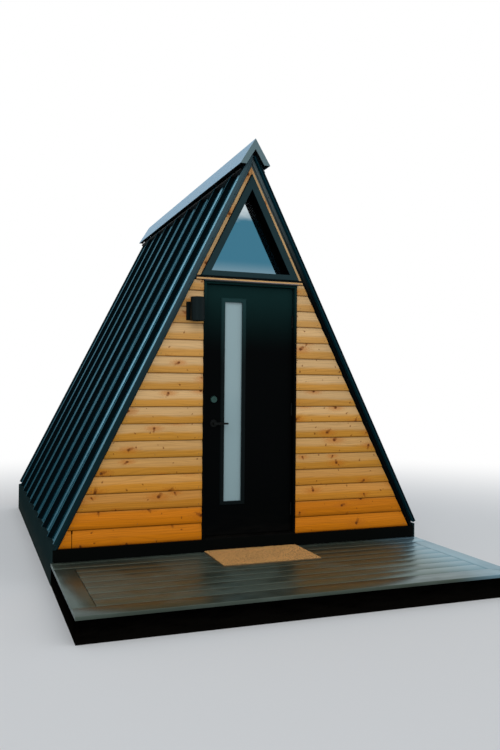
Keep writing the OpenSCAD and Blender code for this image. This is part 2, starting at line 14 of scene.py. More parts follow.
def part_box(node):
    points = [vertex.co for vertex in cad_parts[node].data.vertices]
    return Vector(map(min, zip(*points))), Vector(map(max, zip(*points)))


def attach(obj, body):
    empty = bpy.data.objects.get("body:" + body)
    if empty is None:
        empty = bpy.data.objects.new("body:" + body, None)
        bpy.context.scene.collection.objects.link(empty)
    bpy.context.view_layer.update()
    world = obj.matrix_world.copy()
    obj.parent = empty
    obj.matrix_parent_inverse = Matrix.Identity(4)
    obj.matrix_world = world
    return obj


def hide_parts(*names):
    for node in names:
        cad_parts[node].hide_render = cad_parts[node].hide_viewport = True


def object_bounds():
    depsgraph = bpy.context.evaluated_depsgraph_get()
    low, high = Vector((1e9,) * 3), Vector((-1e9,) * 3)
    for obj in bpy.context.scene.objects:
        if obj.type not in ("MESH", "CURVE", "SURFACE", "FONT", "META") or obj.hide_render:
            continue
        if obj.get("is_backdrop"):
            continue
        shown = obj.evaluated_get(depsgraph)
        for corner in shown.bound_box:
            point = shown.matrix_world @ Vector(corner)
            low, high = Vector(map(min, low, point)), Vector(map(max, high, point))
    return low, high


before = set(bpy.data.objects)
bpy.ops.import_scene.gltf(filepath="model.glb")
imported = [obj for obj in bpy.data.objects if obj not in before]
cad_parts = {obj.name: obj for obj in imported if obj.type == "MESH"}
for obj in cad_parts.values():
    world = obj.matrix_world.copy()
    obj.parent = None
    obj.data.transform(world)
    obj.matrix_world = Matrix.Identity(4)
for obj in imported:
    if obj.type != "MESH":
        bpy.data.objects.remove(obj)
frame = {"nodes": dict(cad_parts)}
CAD_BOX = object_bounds()

bl_info = {
    "name": "A-frame cabin",
    "version": (1, 0, 0),
    "blender": (4, 5, 0),
    "location": "3D View > Sidebar > Cabin",
    "description": "Boards, fixings and finishes of a small A-frame cabin",
    "category": "Object",
}

# The building as the frame gives it
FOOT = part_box("base_front")[1].z
REAR_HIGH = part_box("siding_rear")[1]
HALF = REAR_HIGH.x
APEX = REAR_HIGH.z
SLOPE = math.atan2(APEX - FOOT, HALF)
BOARD_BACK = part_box("siding_front_left")[1].y
DOORWAY_LOW, DOORWAY_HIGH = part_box("door_frame")
SLAB_LOW, SLAB_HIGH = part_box("door_slab")
WINDOW_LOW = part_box("window_frame")[0]
DECK_LOW, DECK_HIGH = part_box("deck_boards")
CAP_LOW, CAP_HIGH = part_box("ridge_cap")
SHEET_LOW, SHEET_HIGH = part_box("roof_sheet_left")
# The roof's standing seams: the first one's place along Y, and their spacing
SEAM_FIRST = 0.209
SEAM_PITCH = 0.434
# The ridge cap's own slope, and its fall for each metre from the ridge
CAP_SLOPE = math.radians(58.5)
CAP_FALL = math.tan(CAP_SLOPE)
# How far inside the gable's slope lines the boards end
BOARD_OUT = -0.0015


def linear(red, green, blue):
    """Turns a screen colour from 0 to 255 into the linear colour that a shader takes."""
    return tuple(
        part / 12.92 if part <= 0.04045 else ((part + 0.055) / 1.055) ** 2.4
        for part in (red / 255, green / 255, blue / 255))


def length(name, description, default):
    """A length in metres that a user may set."""
    return bpy.props.FloatProperty(
        name=name, description=description, default=default, min=0.0, unit="LENGTH")


def tint(name, description, colour):
    """A colour that a user may set."""
    return bpy.props.FloatVectorProperty(
        name=name, description=description, default=linear(*colour),
        subtype="COLOR", size=3, min=0.0, max=1.0)


class CabinSizes(bpy.types.PropertyGroup):
    """Sizes of the boards and fixings."""

    lap_pitch: length("Lap pitch", "Height of board that shows in each course", 0.13335)
    lap_nose: length("Lap nose", "How far the lower edge of a board is rounded back", 0.005)
    lap_fall: length("Lap fall", "How far the upper edge of a board leans back", 0.0105)
    board_gap: length("Board gap", "Gap at the end of a board", 0.002)
    nail_head: length("Nail head", "Diameter of a nail's head in the boards", 0.006)
    deck_pitch: length("Deck pitch", "Spacing of the deck boards", 0.1411)
    deck_gap: length("Deck gap", "Gap between two deck boards", 0.0035)
    deck_border: length("Deck border", "Width of the border boards at the sides", 0.146)
    deck_front: length("Deck front", "Width of the front border board", 0.169)
    deck_round: length("Deck edge", "Radius of a deck board's edges", 0.0018)
    screw_head: length("Screw head", "Diameter of a roof screw's head", 0.011)
    hinge_screw: length("Hinge screw", "Diameter of a hinge screw's head", 0.009)
    bristle: length("Bristle", "Length of a bristle of the door mat", 0.0075)
    bristle_density: bpy.props.FloatProperty(
        name="Bristles", description="Bristles on a square metre of the door mat",
        default=80000.0, min=100.0)


class CabinColours(bpy.types.PropertyGroup):
    """Colours of the boards, metal and paint."""

    # Pale wood and gold wood hold painted light and shade: each board pale on its upper face and
    # gold on its lower face.
    wood_pale: tint("Pale wood", "Upper part of the higher boards", (211, 172, 120))
    wood_gold: tint("Golden wood", "Lower part of the higher boards", (204, 142, 52))
    wood_orange: tint("Orange wood", "The lowest boards", (212, 120, 0))
    wood_knot: tint("Knot", "Heart of a knot", (84, 38, 8))
    timber: tint("Timber", "Framing and lining inside", (214, 180, 134))
    # Roof is the pans' coating darkened as painted shade on the seams' sides.
    roof: tint("Roof", "Coated steel of the seams' sides", (10, 22, 26))
    pan: tint("Pan", "Coated steel of the roof's pans", (14, 56, 68))
    sheen: tint("Sheen", "Ribs and edges that catch the light", (116, 164, 182))
    trim: tint("Trim", "Paint of the rake trim", (16, 38, 42))
    frame: tint("Frame", "Paint of the window frame's face", (36, 54, 57))
    zinc: tint("Zinc", "Bare metal of the ridge cap", (98, 149, 179))
    door: tint("Door", "Paint of the door and its frame", (2, 2, 2))
    base: tint("Base", "Paint of the base", (6, 7, 6))
    fascia: tint("Fascia", "Paint of the deck's fascia", (1, 1, 1))
    skirt: tint("Skirt", "Paint of the side skirts", (27, 41, 42))
    deck: tint("Deck", "Deck boards", (78, 88, 78))
    glass: tint("Door glass", "Frosted glass of the door", (132, 158, 162))
    coir: tint("Coir", "Bristles of the door mat", (226, 174, 104))


def sizes():
    return bpy.context.scene.cabin_sizes


def colours():
    return bpy.context.scene.cabin_colours


# Node trees
def maths(operation, reflected=False):
    """One operator of a Socket, which adds a Math node."""
    def operator(self, other):
        pair = (other, self) if reflected else (self, other)
        return self.graph.math(operation, *pair)
    return operator


class Socket:
    """An output that reads like a number: an expression on it adds Math nodes."""

    def __init__(self, graph, link):
        self.graph = graph
        self.link = link

    __add__, __radd__ = maths("ADD"), maths("ADD", reflected=True)
    __sub__, __rsub__ = maths("SUBTRACT"), maths("SUBTRACT", reflected=True)
    __mul__, __rmul__ = maths("MULTIPLY"), maths("MULTIPLY", reflected=True)
    __truediv__, __rtruediv__ = maths("DIVIDE"), maths("DIVIDE", reflected=True)
    __pow__, __rpow__ = maths("POWER"), maths("POWER", reflected=True)
    __gt__, __lt__ = maths("GREATER_THAN"), maths("LESS_THAN")


class Outputs:
    """The outputs of a new node, found by identifier or name."""

    def __init__(self, graph, node):
        self.graph = graph
        self.node = node

    def __getitem__(self, key):
        for socket in self.node.outputs:
            if key in (socket.identifier, socket.name):
                return Socket(self.graph, socket)
        raise KeyError(f"{self.node.bl_idname} has no output {key}")


class Graph:
    """A node tree under construction."""

    def __init__(self, tree):
        self.tree = tree

    def put(self, node, key, value):
        """Sets or links one input of a node, found by place, identifier or name."""
        if isinstance(key, int):
            target = node.inputs[key]
        else:
            named = [s for s in node.inputs if s.identifier == key]
            named += [s for s in node.inputs if s.name == key and s.enabled]
            if not named:
                raise KeyError(f"{node.bl_idname} has no input {key}")
            target = named[0]
        if isinstance(value, Socket):
            self.tree.links.new(value.link, target)
        elif target.type == "RGBA" and len(value) == 3:
            target.default_value = (*value, 1.0)
        else:
            target.default_value = value

    def node(self, kind, sockets=None, **settings):
        """Adds a node, makes its settings first, then fills its sockets."""
        node = self.tree.nodes.new(kind)
        for key, value in settings.items():
            setattr(node, key, value)
        for key, value in (sockets or {}).items():
            self.put(node, key, value)
        return Outputs(self, node)

    def math(self, operation, *values):
        return self.node("ShaderNodeMath", dict(enumerate(values)), operation=operation)["Value"]

    def vector_math(self, operation, *vectors, **sockets):
        sockets.update(enumerate(vectors))
        return self.node("ShaderNodeVectorMath", sockets, operation=operation)

    def vector(self, **parts):
        """A vector from its X, Y and Z, of which those left out are 0."""
        return self.node("ShaderNodeCombineXYZ", parts)["Vector"]


class Finish(Graph):
    """A material: shader maths, textures and one Principled shader."""

    def __init__(self, name):
        self.material = bpy.data.materials.new(name)
        self.material.use_nodes = True
        super().__init__(self.material.node_tree)
        self.tree.nodes.clear()
        # Object coordinates in metres
        self.place = self.node("ShaderNodeTexCoord")["Object"]

    def turned(self, turn):
        """Object coordinates, turned about the axes."""
        return self.node("ShaderNodeMapping", {
            "Vector": self.place, "Rotation": turn})["Vector"]

    def stretch(self, vector, scale):
        return self.vector_math("MULTIPLY", vector, scale)["Vector"]

    def split(self, vector):
        made = self.node("ShaderNodeSeparateXYZ", {"Vector": vector})
        return made["X"], made["Y"], made["Z"]

    def attribute(self, name):
        return self.node("ShaderNodeAttribute", attribute_name=name)["Fac"]

    def noise(self, vector, scale, detail=3.0, rough=0.5, distortion=0.0):
        """A noise with one scale, or with one for each axis."""
        if isinstance(scale, tuple):
            vector, scale = self.stretch(vector, scale), 1.0
        return self.node("ShaderNodeTexNoise", {
            "Vector": vector, "Scale": scale, "Detail": detail,
            "Roughness": rough, "Distortion": distortion})["Fac"]

    def fade(self, value, low, high, start=0.0, end=1.0):
        """Smooth step of a value from low to high."""
        return self.node("ShaderNodeMapRange", {
            "Value": value, "From Min": low, "From Max": high,
            "To Min": start, "To Max": end}, interpolation_type="SMOOTHSTEP")["Result"]

    def blend(self, share, first, second):
        """A colour between two colours."""
        return self.node("ShaderNodeMix", {
            "Factor_Float": share, "A_Color": first, "B_Color": second},
            data_type="RGBA")["Result_Color"]

    def shade(self, colour, amount):
        """A colour made darker or lighter by a number."""
        return self.vector_math("SCALE", colour, Scale=amount)["Vector"]

    def bump(self, height, distance, **under):
        """A bumped normal, which lies over another bump where Normal gives one."""
        return self.node("ShaderNodeBump", {
            "Height": height, "Distance": distance, "Strength": 1.0, **under})["Normal"]

    def close(self, **sockets):
        """Ends the material in a Principled shader. Names use _ where the sockets have spaces."""
        sockets = {key.replace("_", " "): value for key, value in sockets.items()}
        shader = self.node("ShaderNodeBsdfPrincipled", sockets)["BSDF"]
        self.node("ShaderNodeOutputMaterial", {"Surface": shader})
        return self.material


class Pattern(Graph):
    """A Geometry Nodes tree with a mesh input, named inputs for its sizes and one mesh output."""

    def __init__(self, name, *numbers, **others):
        """Numbers are the names of decimal inputs. Others give an input's name and its kind."""
        super().__init__(bpy.data.node_groups.new(name, "GeometryNodeTree"))
        inputs = {"Geometry": "Geometry", **dict.fromkeys(numbers, "Float"), **others}
        sockets = self.tree.interface
        for label, kind in inputs.items():
            sockets.new_socket(label, in_out="INPUT", socket_type="NodeSocket" + kind)
        sockets.new_socket("Geometry", in_out="OUTPUT", socket_type="NodeSocketGeometry")
        self.given = self.node("NodeGroupInput")

    def bar(self, section, half_length):
        """A closed section swept along X to both sides of the origin."""
        line = self.node("GeometryNodeCurvePrimitiveLine", {
            "Start": self.vector(X=half_length * -1.0), "End": self.vector(X=half_length)})
        return self.node("GeometryNodeCurveToMesh", {
            "Curve": line["Curve"], "Profile Curve": section, "Fill Caps": True})["Mesh"]

    def copies(self, points, form, **sockets):
        """Instances of a form on points."""
        return self.node("GeometryNodeInstanceOnPoints", {
            "Points": points, "Instance": form, **sockets})["Instances"]

    def facing_copies(self, form):
        """Instances of a form on the host's points, each facing the way its point says."""
        facing = self.node(
            "GeometryNodeInputNamedAttribute", {"Name": "facing"}, data_type="FLOAT_VECTOR")
        turned = self.node(
            "FunctionNodeAlignRotationToVector", {"Vector": facing["Attribute"]}, axis="Z")
        return self.copies(self.given["Geometry"], form, Rotation=turned["Rotation"])

    def finish(self, geometry, material):
        """Makes the instances real, gives them their material and ends the tree."""
        real = self.node("GeometryNodeRealizeInstances", {"Geometry": geometry})
        done = self.node("GeometryNodeSetMaterial", {
            "Geometry": real["Geometry"], "Material": material})
        self.node("NodeGroupOutput", {"Geometry": done["Geometry"]})
        return self.tree


def placed(name, data):
    """A new object in the scene."""
    piece = bpy.data.objects.new(name, data)
    bpy.context.collection.objects.link(piece)
    return piece


def grow(name, host, tree, values):
    """Runs a Geometry Nodes tree on a host mesh and returns the plain mesh object it makes."""
    carrier = placed(name + "_host", host)
    modifier = carrier.modifiers.new("pattern", "NODES")
    modifier.node_group = tree
    for item in tree.interface.items_tree:
        if item.in_out == "INPUT" and item.name in values:
            modifier[item.identifier] = values[item.name]
    bpy.context.view_layer.update()
    graph = bpy.context.evaluated_depsgraph_get()
    mesh = bpy.data.meshes.new_from_object(carrier.evaluated_get(graph))
    bpy.data.objects.remove(carrier)
    if not mesh.polygons:
        raise RuntimeError(f"the pattern of {name} made no faces")
    mesh.name = name
    return placed(name, mesh)


def seat(piece, body, slot, *replaced):
    """Puts a finished piece on its body and hides the nodes that it replaces. Its slot is not
    used.
    """
    mesh = piece.data
    mesh.shade_smooth()
    mesh.set_sharp_from_angle(angle=math.radians(35))
    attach(piece, body)
    if replaced:
        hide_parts(*replaced)


def made_of(name, form, material):
    """Turns a bmesh into an object with one material."""
    bmesh.ops.recalc_face_normals(form, faces=form.faces)
    mesh = bpy.data.meshes.new(name)
    form.to_mesh(mesh)
    form.free()
    mesh.materials.append(material)
    return placed(name, mesh)


def points_mesh(name, places):
    """A mesh of loose points, each with the direction that its fixing faces."""
    mesh = bpy.data.meshes.new(name)
    mesh.from_pydata([place for place, facing in places], [], [])
    facing = mesh.attributes.new("facing", "FLOAT_VECTOR", "POINT")
    for item, (place, direction) in zip(facing.data, places):
        item.vector = direction
    return mesh


# The gable's slope lines: distances are square to the slope, outward from the boards' edge
def edge_x(out, z):
    """Half width from the ridge of the slope line at this distance and height."""
    return HALF + out / math.sin(SLOPE) - (z - FOOT) / math.tan(SLOPE)


def apex_z(out):
    return APEX + out / math.cos(SLOPE)


def on_slope(side, along, out, y):
    """Point at a distance up the slope from its foot, at a distance square to it."""
    x = HALF - along * math.cos(SLOPE) + out * math.sin(SLOPE)
    z = FOOT + along * math.sin(SLOPE) + out * math.cos(SLOPE)
    return Vector((side * x, y, z))


# Finishes
def knots(finish, place, rough, scale, rare, radius, taper):
    """One layer of knots: heart, ring and halo, each 1 on a knot and 0 away from it.

    Rare is the share of the map's cells without a knot. A low taper draws the ring to a spike.
    """
    spread = finish.stretch(place, scale)
    cell = finish.node(
        "ShaderNodeTexVoronoi", {"Vector": spread, "Scale": 1.0}, voronoi_dimensions="2D")
    away = finish.vector_math("SUBTRACT", spread, cell["Position"])["Vector"]
    away = finish.vector_math("DIVIDE", away, scale)["Vector"]
    chance, girth, lean = finish.split(cell["Color"])
    turned = finish.node("ShaderNodeVectorRotate", {
        "Vector": away, "Angle": 0.4 + 2.4 * lean + (girth > 0.5) * math.pi},
        rotation_type="Z_AXIS")["Vector"]
    tail, width, _ = finish.split(turned)
    drawn = finish.math("MAXIMUM", tail, 0.0) * taper - finish.math("MINIMUM", tail, 0.0)
    size = radius * (0.75 + 0.9 * girth)
    spike = finish.math("SQRT", drawn * drawn + width * width) * rough / size
    round_reach, smear = [
        finish.vector_math("LENGTH", reach)["Value"] * rough / size
        for reach in (away, finish.stretch(away, (0.4, 1.0, 1.0)))]
    kept = chance > rare
    heart = kept * finish.fade(round_reach, 0.6, 1.3, 1.0, 0.0)
    ring = kept * finish.fade(spike, 0.6, 1.7, 1.0, 0.0)
    halo = kept * finish.fade(smear, 0.8, 4.5, 1.0, 0.0)
    return heart, ring, halo


def wood_boards():
    """Oiled softwood boards, orange near the ground, with knots, and painted light and shade: each
    board pale above and gold below, with a lighter band and a dark lap line.
    """
    tints = colours()
    finish = Finish("lap_board_wood")
    # The boards' own map: along the grain and across it, in metres
    place = finish.node("ShaderNodeUVMap", uv_map="grain")["UV"]
    tone = finish.attribute("tone")
    rise = finish.attribute("rise")
    height = finish.split(finish.place)[2]

    rough = 0.1 + 1.8 * finish.noise(place, (85, 85, 1), 3.0, 0.6)
    pin_heart, pin_ring, _ = knots(
        finish, place, rough, (5.8, 13.0, 1.0), rare=0.6, radius=0.0036, taper=0.4)
    heart, ring, halo = knots(
        finish, place, rough, (2.7, 8.0, 1.0), rare=0.3, radius=0.0082, taper=0.3)
    heart = finish.math("MAXIMUM", heart * 0.9, pin_heart * 0.75)
    ring = finish.math("MAXIMUM", ring, pin_ring * 0.8)

    across = finish.split(place)[1]
    drift = finish.noise(place, (1.3, 9.0, 1), 2.0)
    field = across * 46 + drift * 6.5 + halo * 1.6
    lines = finish.math("SINE", field * (2 * math.pi)) * 0.5 + 0.5
    lines = lines ** 2.2
    fibre = finish.noise(place, (9, 650, 1), 4.0, 0.65)
    streak = finish.noise(place, (2.2, 70, 1), 3.0, 0.6)
    patch = finish.noise(place, (3.5, 14, 1), 3.0, 0.55)
    check = finish.noise(place, (4.0, 240, 1), 2.0)
    split = finish.fade(check, 0.68, 0.73) * finish.fade(patch, 0.5, 0.62)

    # Painted light and shade by each board's rise: pale above, gold below. The lower courses also
    # turn gold by height.
    shade_and_gold = finish.fade(rise + (patch - 0.5) * 0.3, 0.34, 0.58, 1.0, 0.0)
    low = finish.fade(height + (patch - 0.5) * 0.2, 0.55, 1.6, 0.7, 0.0)
    shade_and_gold = shade_and_gold * finish.fade(height, 1.5, 2.1, 0.86, 0.6) + low * (1 - shade_and_gold * 0.6)
    damp = finish.fade(height, 0.505, 0.545, 0.86, 0.0)
    damp = damp + finish.fade(height, 0.54, 0.95, 0.3, 0.0) * (1 - damp)
    # Painted highlight: a lighter band across the upper middle of each board's face.
    band = finish.fade(rise + (streak - 0.5) * 0.5, 0.42, 0.62)
    band = band * finish.fade(rise, 0.72, 0.98, 1.0, 0.3)
    # Painted shade: dark brown along each board's foot under the lap, and deeper on the damp
    # boards.
    lap_shade = finish.fade(rise, 0.0, 0.07, 0.8, 0.0)
    lap_shade = lap_shade + damp * finish.fade(rise, 0.0, 0.3, 0.3, 0.0) * (1 - lap_shade)

    colour = finish.blend(shade_and_gold, tints.wood_pale, tints.wood_gold)
    colour = finish.blend(damp, colour, tints.wood_orange)
    colour = finish.shade(
        colour, 0.56 + 0.15 * tone + 0.42 * streak + 0.14 * fibre + 0.07 * band)
    colour = finish.blend(lines * 0.28, colour, finish.shade(colour, 0.6))
    for share, mark in (
        (halo * 0.5, linear(184, 104, 22)), (ring * 0.66, linear(120, 60, 14)),
        (heart * 0.8, tints.wood_knot), (split * 0.65, linear(70, 36, 14)),
        (lap_shade, linear(64, 26, 4)),
    ):
        colour = finish.blend(share, colour, mark)

    relief = fibre * 0.5 + lines * 0.35 - heart * 0.6 - split * 1.2
    return finish.close(
        Base_Color=colour, Roughness=0.56 + 0.16 * streak - 0.1 * damp,
        Specular_IOR_Level=0.08, Normal=finish.bump(relief, 0.0006))


def plain_timber(name, colour, turn=(0, 0, 0), rough=0.55):
    """Bare timber or plywood whose grain runs along X before it is turned."""
    finish = Finish(name)
    place = finish.turned(turn)
    drift = finish.noise(place, (1.1, 5.0, 5.0), 2.0)
    _, across, up = finish.split(place)
    lines = finish.math("SINE", (across + up) * 260 + drift * 40) * 0.5 + 0.5
    fibre = finish.noise(place, (8, 420, 420), 3.0, 0.6)
    tone = finish.shade(colour, 0.82 + 0.3 * finish.noise(place, 2.4))
    tone = finish.blend(lines * 0.25 + fibre * 0.2, tone, finish.shade(colour, 0.55))
    return finish.close(
        Base_Color=tone, Roughness=rough + 0.15 * fibre,
        Normal=finish.bump(fibre + lines * 0.4, 0.0004))


def roof_steel():
    """Dark teal coated steel: teal pans and seam tops, near-black seam sides as painted shade, and
    painted light near the front.
    """
    # Distances from the boards' edge, square to the slope
    pan_face, fold_face, seam_top = 0.039, 0.0585, 0.0785
    tints = colours()
    finish = Finish("roof_steel")
    place = finish.place
    side, depth, height = finish.split(place)
    streak = finish.noise(place, (34, 34, 1.4), 3.0, 0.6)
    dust = finish.noise(place, 7.0, 5.0, 0.65)
    low = finish.fade(height, 0.26, 0.9, 1.0, 0.15)
    film = finish.fade(streak * 0.55 + dust * 0.45, 0.45, 0.75) * low
    out = finish.math("ABSOLUTE", side) * math.sin(SLOPE) + height * math.cos(SLOPE)
    out = out - HALF * math.sin(SLOPE) - FOOT * math.cos(SLOPE)
    # Painted highlight on the top of each sheet's raised front edge.
    edge = (out > fold_face) * (depth < SHEET_LOW.y + 0.024)
    # Painted reflection on the left sheet's front face: the trim colour, paler upwards. The right
    # sheet's front face keeps the darker steel colours as painted shade.
    front = (depth < SHEET_LOW.y + 0.001) * (side < 0.0)
    # Painted shade: the seams' sides take the near-black roof colour, the pans and seam tops the
    # teal pan colour.
    colour = finish.blend(
        finish.math("MAXIMUM", out < pan_face, out > seam_top), tints.roof, tints.pan)
    colour = finish.blend(edge * 0.35, colour, tints.sheen)
    face = finish.blend(finish.fade(height, 1.0, 3.2), tints.trim, linear(60, 80, 86))
    colour = finish.blend(front, colour, face)
    colour = finish.blend(film * 0.05, colour, linear(70, 84, 86))
    waves = finish.noise(finish.stretch(place, (1.0, 3.2, 1.0)), 1.6, 1.0)
    grit = finish.bump(finish.noise(place, 900.0, 2.0), 0.00003)
    return finish.close(
        Base_Color=colour, Metallic=0.35 * (1 - front),
        Roughness=0.2 + 0.15 * film + 0.05 * dust,
        Specular_IOR_Level=0.0, Specular_Tint=(0.6, 0.9, 1.0, 1.0),
        Normal=finish.bump(waves, 0.002, Normal=grit))


def rib_steel():
    """The same coating on the ribs with a painted sheen, palest at the front of the roof and
    higher up.
    """
    tints = colours()
    finish = Finish("rib_steel")
    _, depth, height = finish.split(finish.place)
    dust = finish.noise(finish.place, 7.0, 5.0, 0.65)
    uneven = finish.noise(finish.place, (0.2, 3.1, 0.2), 1.0)
    # Painted sheen: pale on the front ribs, fading towards the rear and downwards, uneven from rib
    # to rib.
    pale = finish.fade(depth, SEAM_FIRST + 0.5, SEAM_FIRST + 0.7, 1.0, 0.1 + 0.5 * uneven)
    pale = pale * finish.fade(height, 0.5, 1.7, 0.25, 1.0) * (0.6 + 0.8 * dust)
    return finish.close(
        Base_Color=finish.blend(pale, tints.pan, tints.sheen),
        Metallic=0.35, Roughness=0.3 + 0.1 * dust, Specular_IOR_Level=0.0,
        Specular_Tint=(0.6, 0.9, 1.0, 1.0))


def bare_zinc():
    """Dull zinc with a spangle of flat grains, and painted shade: darker on its end faces and
    black underneath.
    """
    # How close to the cap's ends and to its underside a point counts as on them
    end_skin, under_skin = 0.002, 0.0035
    finish = Finish("bare_zinc")
    side, depth, height = finish.split(finish.place)
    grain = finish.node("ShaderNodeTexVoronoi", {"Vector": finish.place, "Scale": 120.0})
    shade, angle, _ = finish.split(grain["Color"])
    cloud = finish.noise(finish.place, 3.0, 4.0, 0.6)
    stain = finish.noise(finish.place, (22, 22, 2.0))
    colour = finish.shade(colours().zinc, 0.84 + 0.1 * shade + 0.2 * cloud)
    colour = finish.blend(finish.fade(stain, 0.55, 0.8) * 0.25, colour, linear(104, 118, 126))
    # Painted shade: the end faces darker and less metallic.
    ends = (depth < CAP_LOW.y + end_skin) + (depth > CAP_HIGH.y - end_skin)
    colour = finish.blend(ends * 0.9, colour, linear(72, 92, 92))
    # Painted shade: black on the cap's underside.
    below = finish.math("ABSOLUTE", side) * CAP_FALL + height
    under = (below < CAP_HIGH.z - under_skin) * (1 - ends)
    colour = finish.blend(under, colour, linear(12, 15, 17))
    return finish.close(
        Base_Color=colour, Metallic=0.8 - 0.5 * ends - 0.8 * under,
        Roughness=0.34 + 0.1 * angle + 0.1 * cloud + 0.2 * under,
        Normal=finish.bump(cloud, 0.0012))


def satin_paint(
        name, colour, rough=0.38, gloss=0.2, dirt=0.0, dirt_top=0.5, grain=0.00012, top=None):
    """Rolled paint with a fine orange peel, faint clouds and dust towards the ground.

    Where top is given, as a colour with two heights, the paint turns to that colour upwards, as a
    painted reflection of the sky.
    """
    finish = Finish(name)
    height = finish.split(finish.place)[2]
    cloud = finish.noise(finish.place, 2.6, 4.0, 0.6)
    smear = finish.noise(finish.place, (5, 5, 26), 4.0, 0.65)
    speck = finish.noise(finish.place, 130.0, 4.0, 0.7)
    low = finish.fade(height, 0.0, dirt_top, 1.0, 0.0)
    film = finish.fade(speck * 0.5 + smear * 0.5 + low * 0.25, 0.5, 0.78) * low * dirt
    if top is not None:
        # Painted reflection of the sky: the paint turns to the top colour upwards.
        sky_reflection_colour, start, end = top
        colour = finish.blend(finish.fade(height, start, end), colour, sky_reflection_colour)
    tone = finish.shade(colour, 0.8 + 0.4 * cloud)
    return finish.close(
        Base_Color=finish.blend(film, tone, linear(96, 88, 76)),
        Roughness=rough + 0.14 * smear + 0.3 * film,
        Specular_IOR_Level=gloss, Specular_Tint=(*linear(190, 222, 232), 1.0),
        Normal=finish.bump(finish.noise(finish.place, 420.0, 2.0), grain))


def window_paint():
    """Grey paint on the face of the window frame, and black in its reveal as painted shade."""
    finish = Finish("window_paint")
    depth = finish.split(finish.place)[1]
    cloud = finish.noise(finish.place, 3.2, 4.0, 0.6)
    # Painted shade: black in the frame's reveal, behind its face.
    inside = finish.fade(depth, WINDOW_LOW.y + 0.001, WINDOW_LOW.y + 0.012)
    face = finish.shade(colours().frame, 0.75 + 0.5 * cloud)
    return finish.close(
        Base_Color=finish.blend(inside, face, linear(4, 5, 5)),
        Roughness=0.5 + 0.1 * cloud, Specular_IOR_Level=0.0,
        Normal=finish.bump(finish.noise(finish.place, 420.0, 2.0), 0.0001))


def drip_metal():
    """Black flashing with a painted highlight along its upper edge."""
    finish = Finish("drip_metal")
    along, _, height = finish.split(finish.place)
    wear = finish.noise(finish.place, (9, 40, 40))
    # Painted highlight along the upper edge, stronger to the right.
    edge = finish.fade(height + (wear - 0.5) * 0.002, DOORWAY_HIGH.z, DOORWAY_HIGH.z + 0.002)
    edge = edge * finish.fade(along, -0.3, 0.2, 0.45, 1.0)
    return finish.close(
        Base_Color=finish.blend(edge, linear(16, 20, 22), linear(126, 126, 136)),
        Roughness=0.35 + 0.2 * wear, Specular_IOR_Level=0.25,
        Normal=finish.bump(wear, 0.0004))


def brushed_dark_metal(name, colour, rough=0.34):
    """Dark coated hardware, slightly worn."""
    finish = Finish(name)
    wear = finish.noise(finish.place, 60.0, 4.0, 0.6)
    fine = finish.noise(finish.place, (260, 900, 900), 2.0)
    tone = finish.blend(finish.fade(wear, 0.56, 0.74) * 0.1, colour, linear(96, 94, 90))
    return finish.close(
        Base_Color=tone, Metallic=0.7, Specular_IOR_Level=0.2, Roughness=rough + 0.12 * wear,
        Normal=finish.bump(fine, 0.00006))


def frosted_glass():
    """Etched glass with a smooth outer face and a faint cloud."""
    finish = Finish("frosted_glass")
    cloud = finish.noise(finish.place, (3.0, 3.0, 1.1), 2.0)
    grit = finish.noise(finish.place, 1400.0, 2.0)
    return finish.close(
        Base_Color=finish.shade(colours().glass, 0.92 + 0.14 * cloud),
        Roughness=0.42 + 0.06 * cloud, Coat_Weight=0.5, Coat_Roughness=0.06,
        Normal=finish.bump(grit, 0.00003))


def window_glass():
    """Dark mirroring glass with a painted reflection of the sky in its colour: pale above, teal
    below, paler at its foot.
    """
    finish = Finish("window_glass")
    height = finish.split(finish.place)[2]
    cloud = finish.noise(finish.stretch(finish.place, (1.0, 1.0, 2.6)), 2.4)
    # Painted reflection of the sky: pale cloud above, teal below, and paler at the foot.
    up = finish.fade(height + (cloud - 0.5) * 0.3, 2.84, 2.96)
    tone = finish.blend(up, linear(54, 102, 122), linear(168, 180, 184))
    tone = finish.blend(finish.fade(height, 2.42, 2.55, 0.35, 0.0), tone, linear(150, 166, 172))
    return finish.close(
        Base_Color=tone, Metallic=0.97, Roughness=0.05,
        Normal=finish.bump(finish.noise(finish.place, 2.2, 1.0), 0.002))


def wet_deck(name, turn=(0, 0, 0)):
    """Dark composite boards with an embossed grain along X before it is turned, wet in patches."""
    finish = Finish(name)
    place = finish.turned(turn)
    emboss = finish.noise(place, (5.0, 130, 130), 3.0, 0.6, 0.6)
    streak = finish.noise(place, (1.1, 20, 20), 3.0, 0.6)
    pool = finish.noise(place, 2.1, 3.0, 0.55)
    ripple = finish.noise(place, (3.5, 14, 14), 2.0)
    wet = finish.fade(pool + (streak - 0.5) * 0.3, 0.36, 0.58)
    colour = finish.shade(
        colours().deck, 0.72 + 0.25 * finish.attribute("tone") + 0.4 * streak)
    colour = finish.blend((1 - wet) * 0.14, colour, linear(92, 106, 102))
    colour = finish.blend(finish.fade(emboss, 0.52, 0.7) * 0.3, colour, linear(14, 20, 20))
    # Painted reflection of the sky on the right end of the deck
    end = finish.fade(finish.split(finish.place)[0] + (pool - 0.5) * 0.2, 1.0, 1.5)
    colour = finish.blend(end * 0.6, colour, linear(124, 164, 184))
    grain = finish.bump(emboss * (1.15 - 0.8 * wet), 0.0003)
    return finish.close(
        Base_Color=colour, Metallic=0.45 + 0.25 * wet,
        Roughness=0.36 - 0.1 * wet + 0.08 * emboss,
        Specular_IOR_Level=0.3, Specular_Tint=(0.8, 0.95, 1.0, 1.0),
        Normal=finish.bump(ripple, 0.0006, Normal=grain))


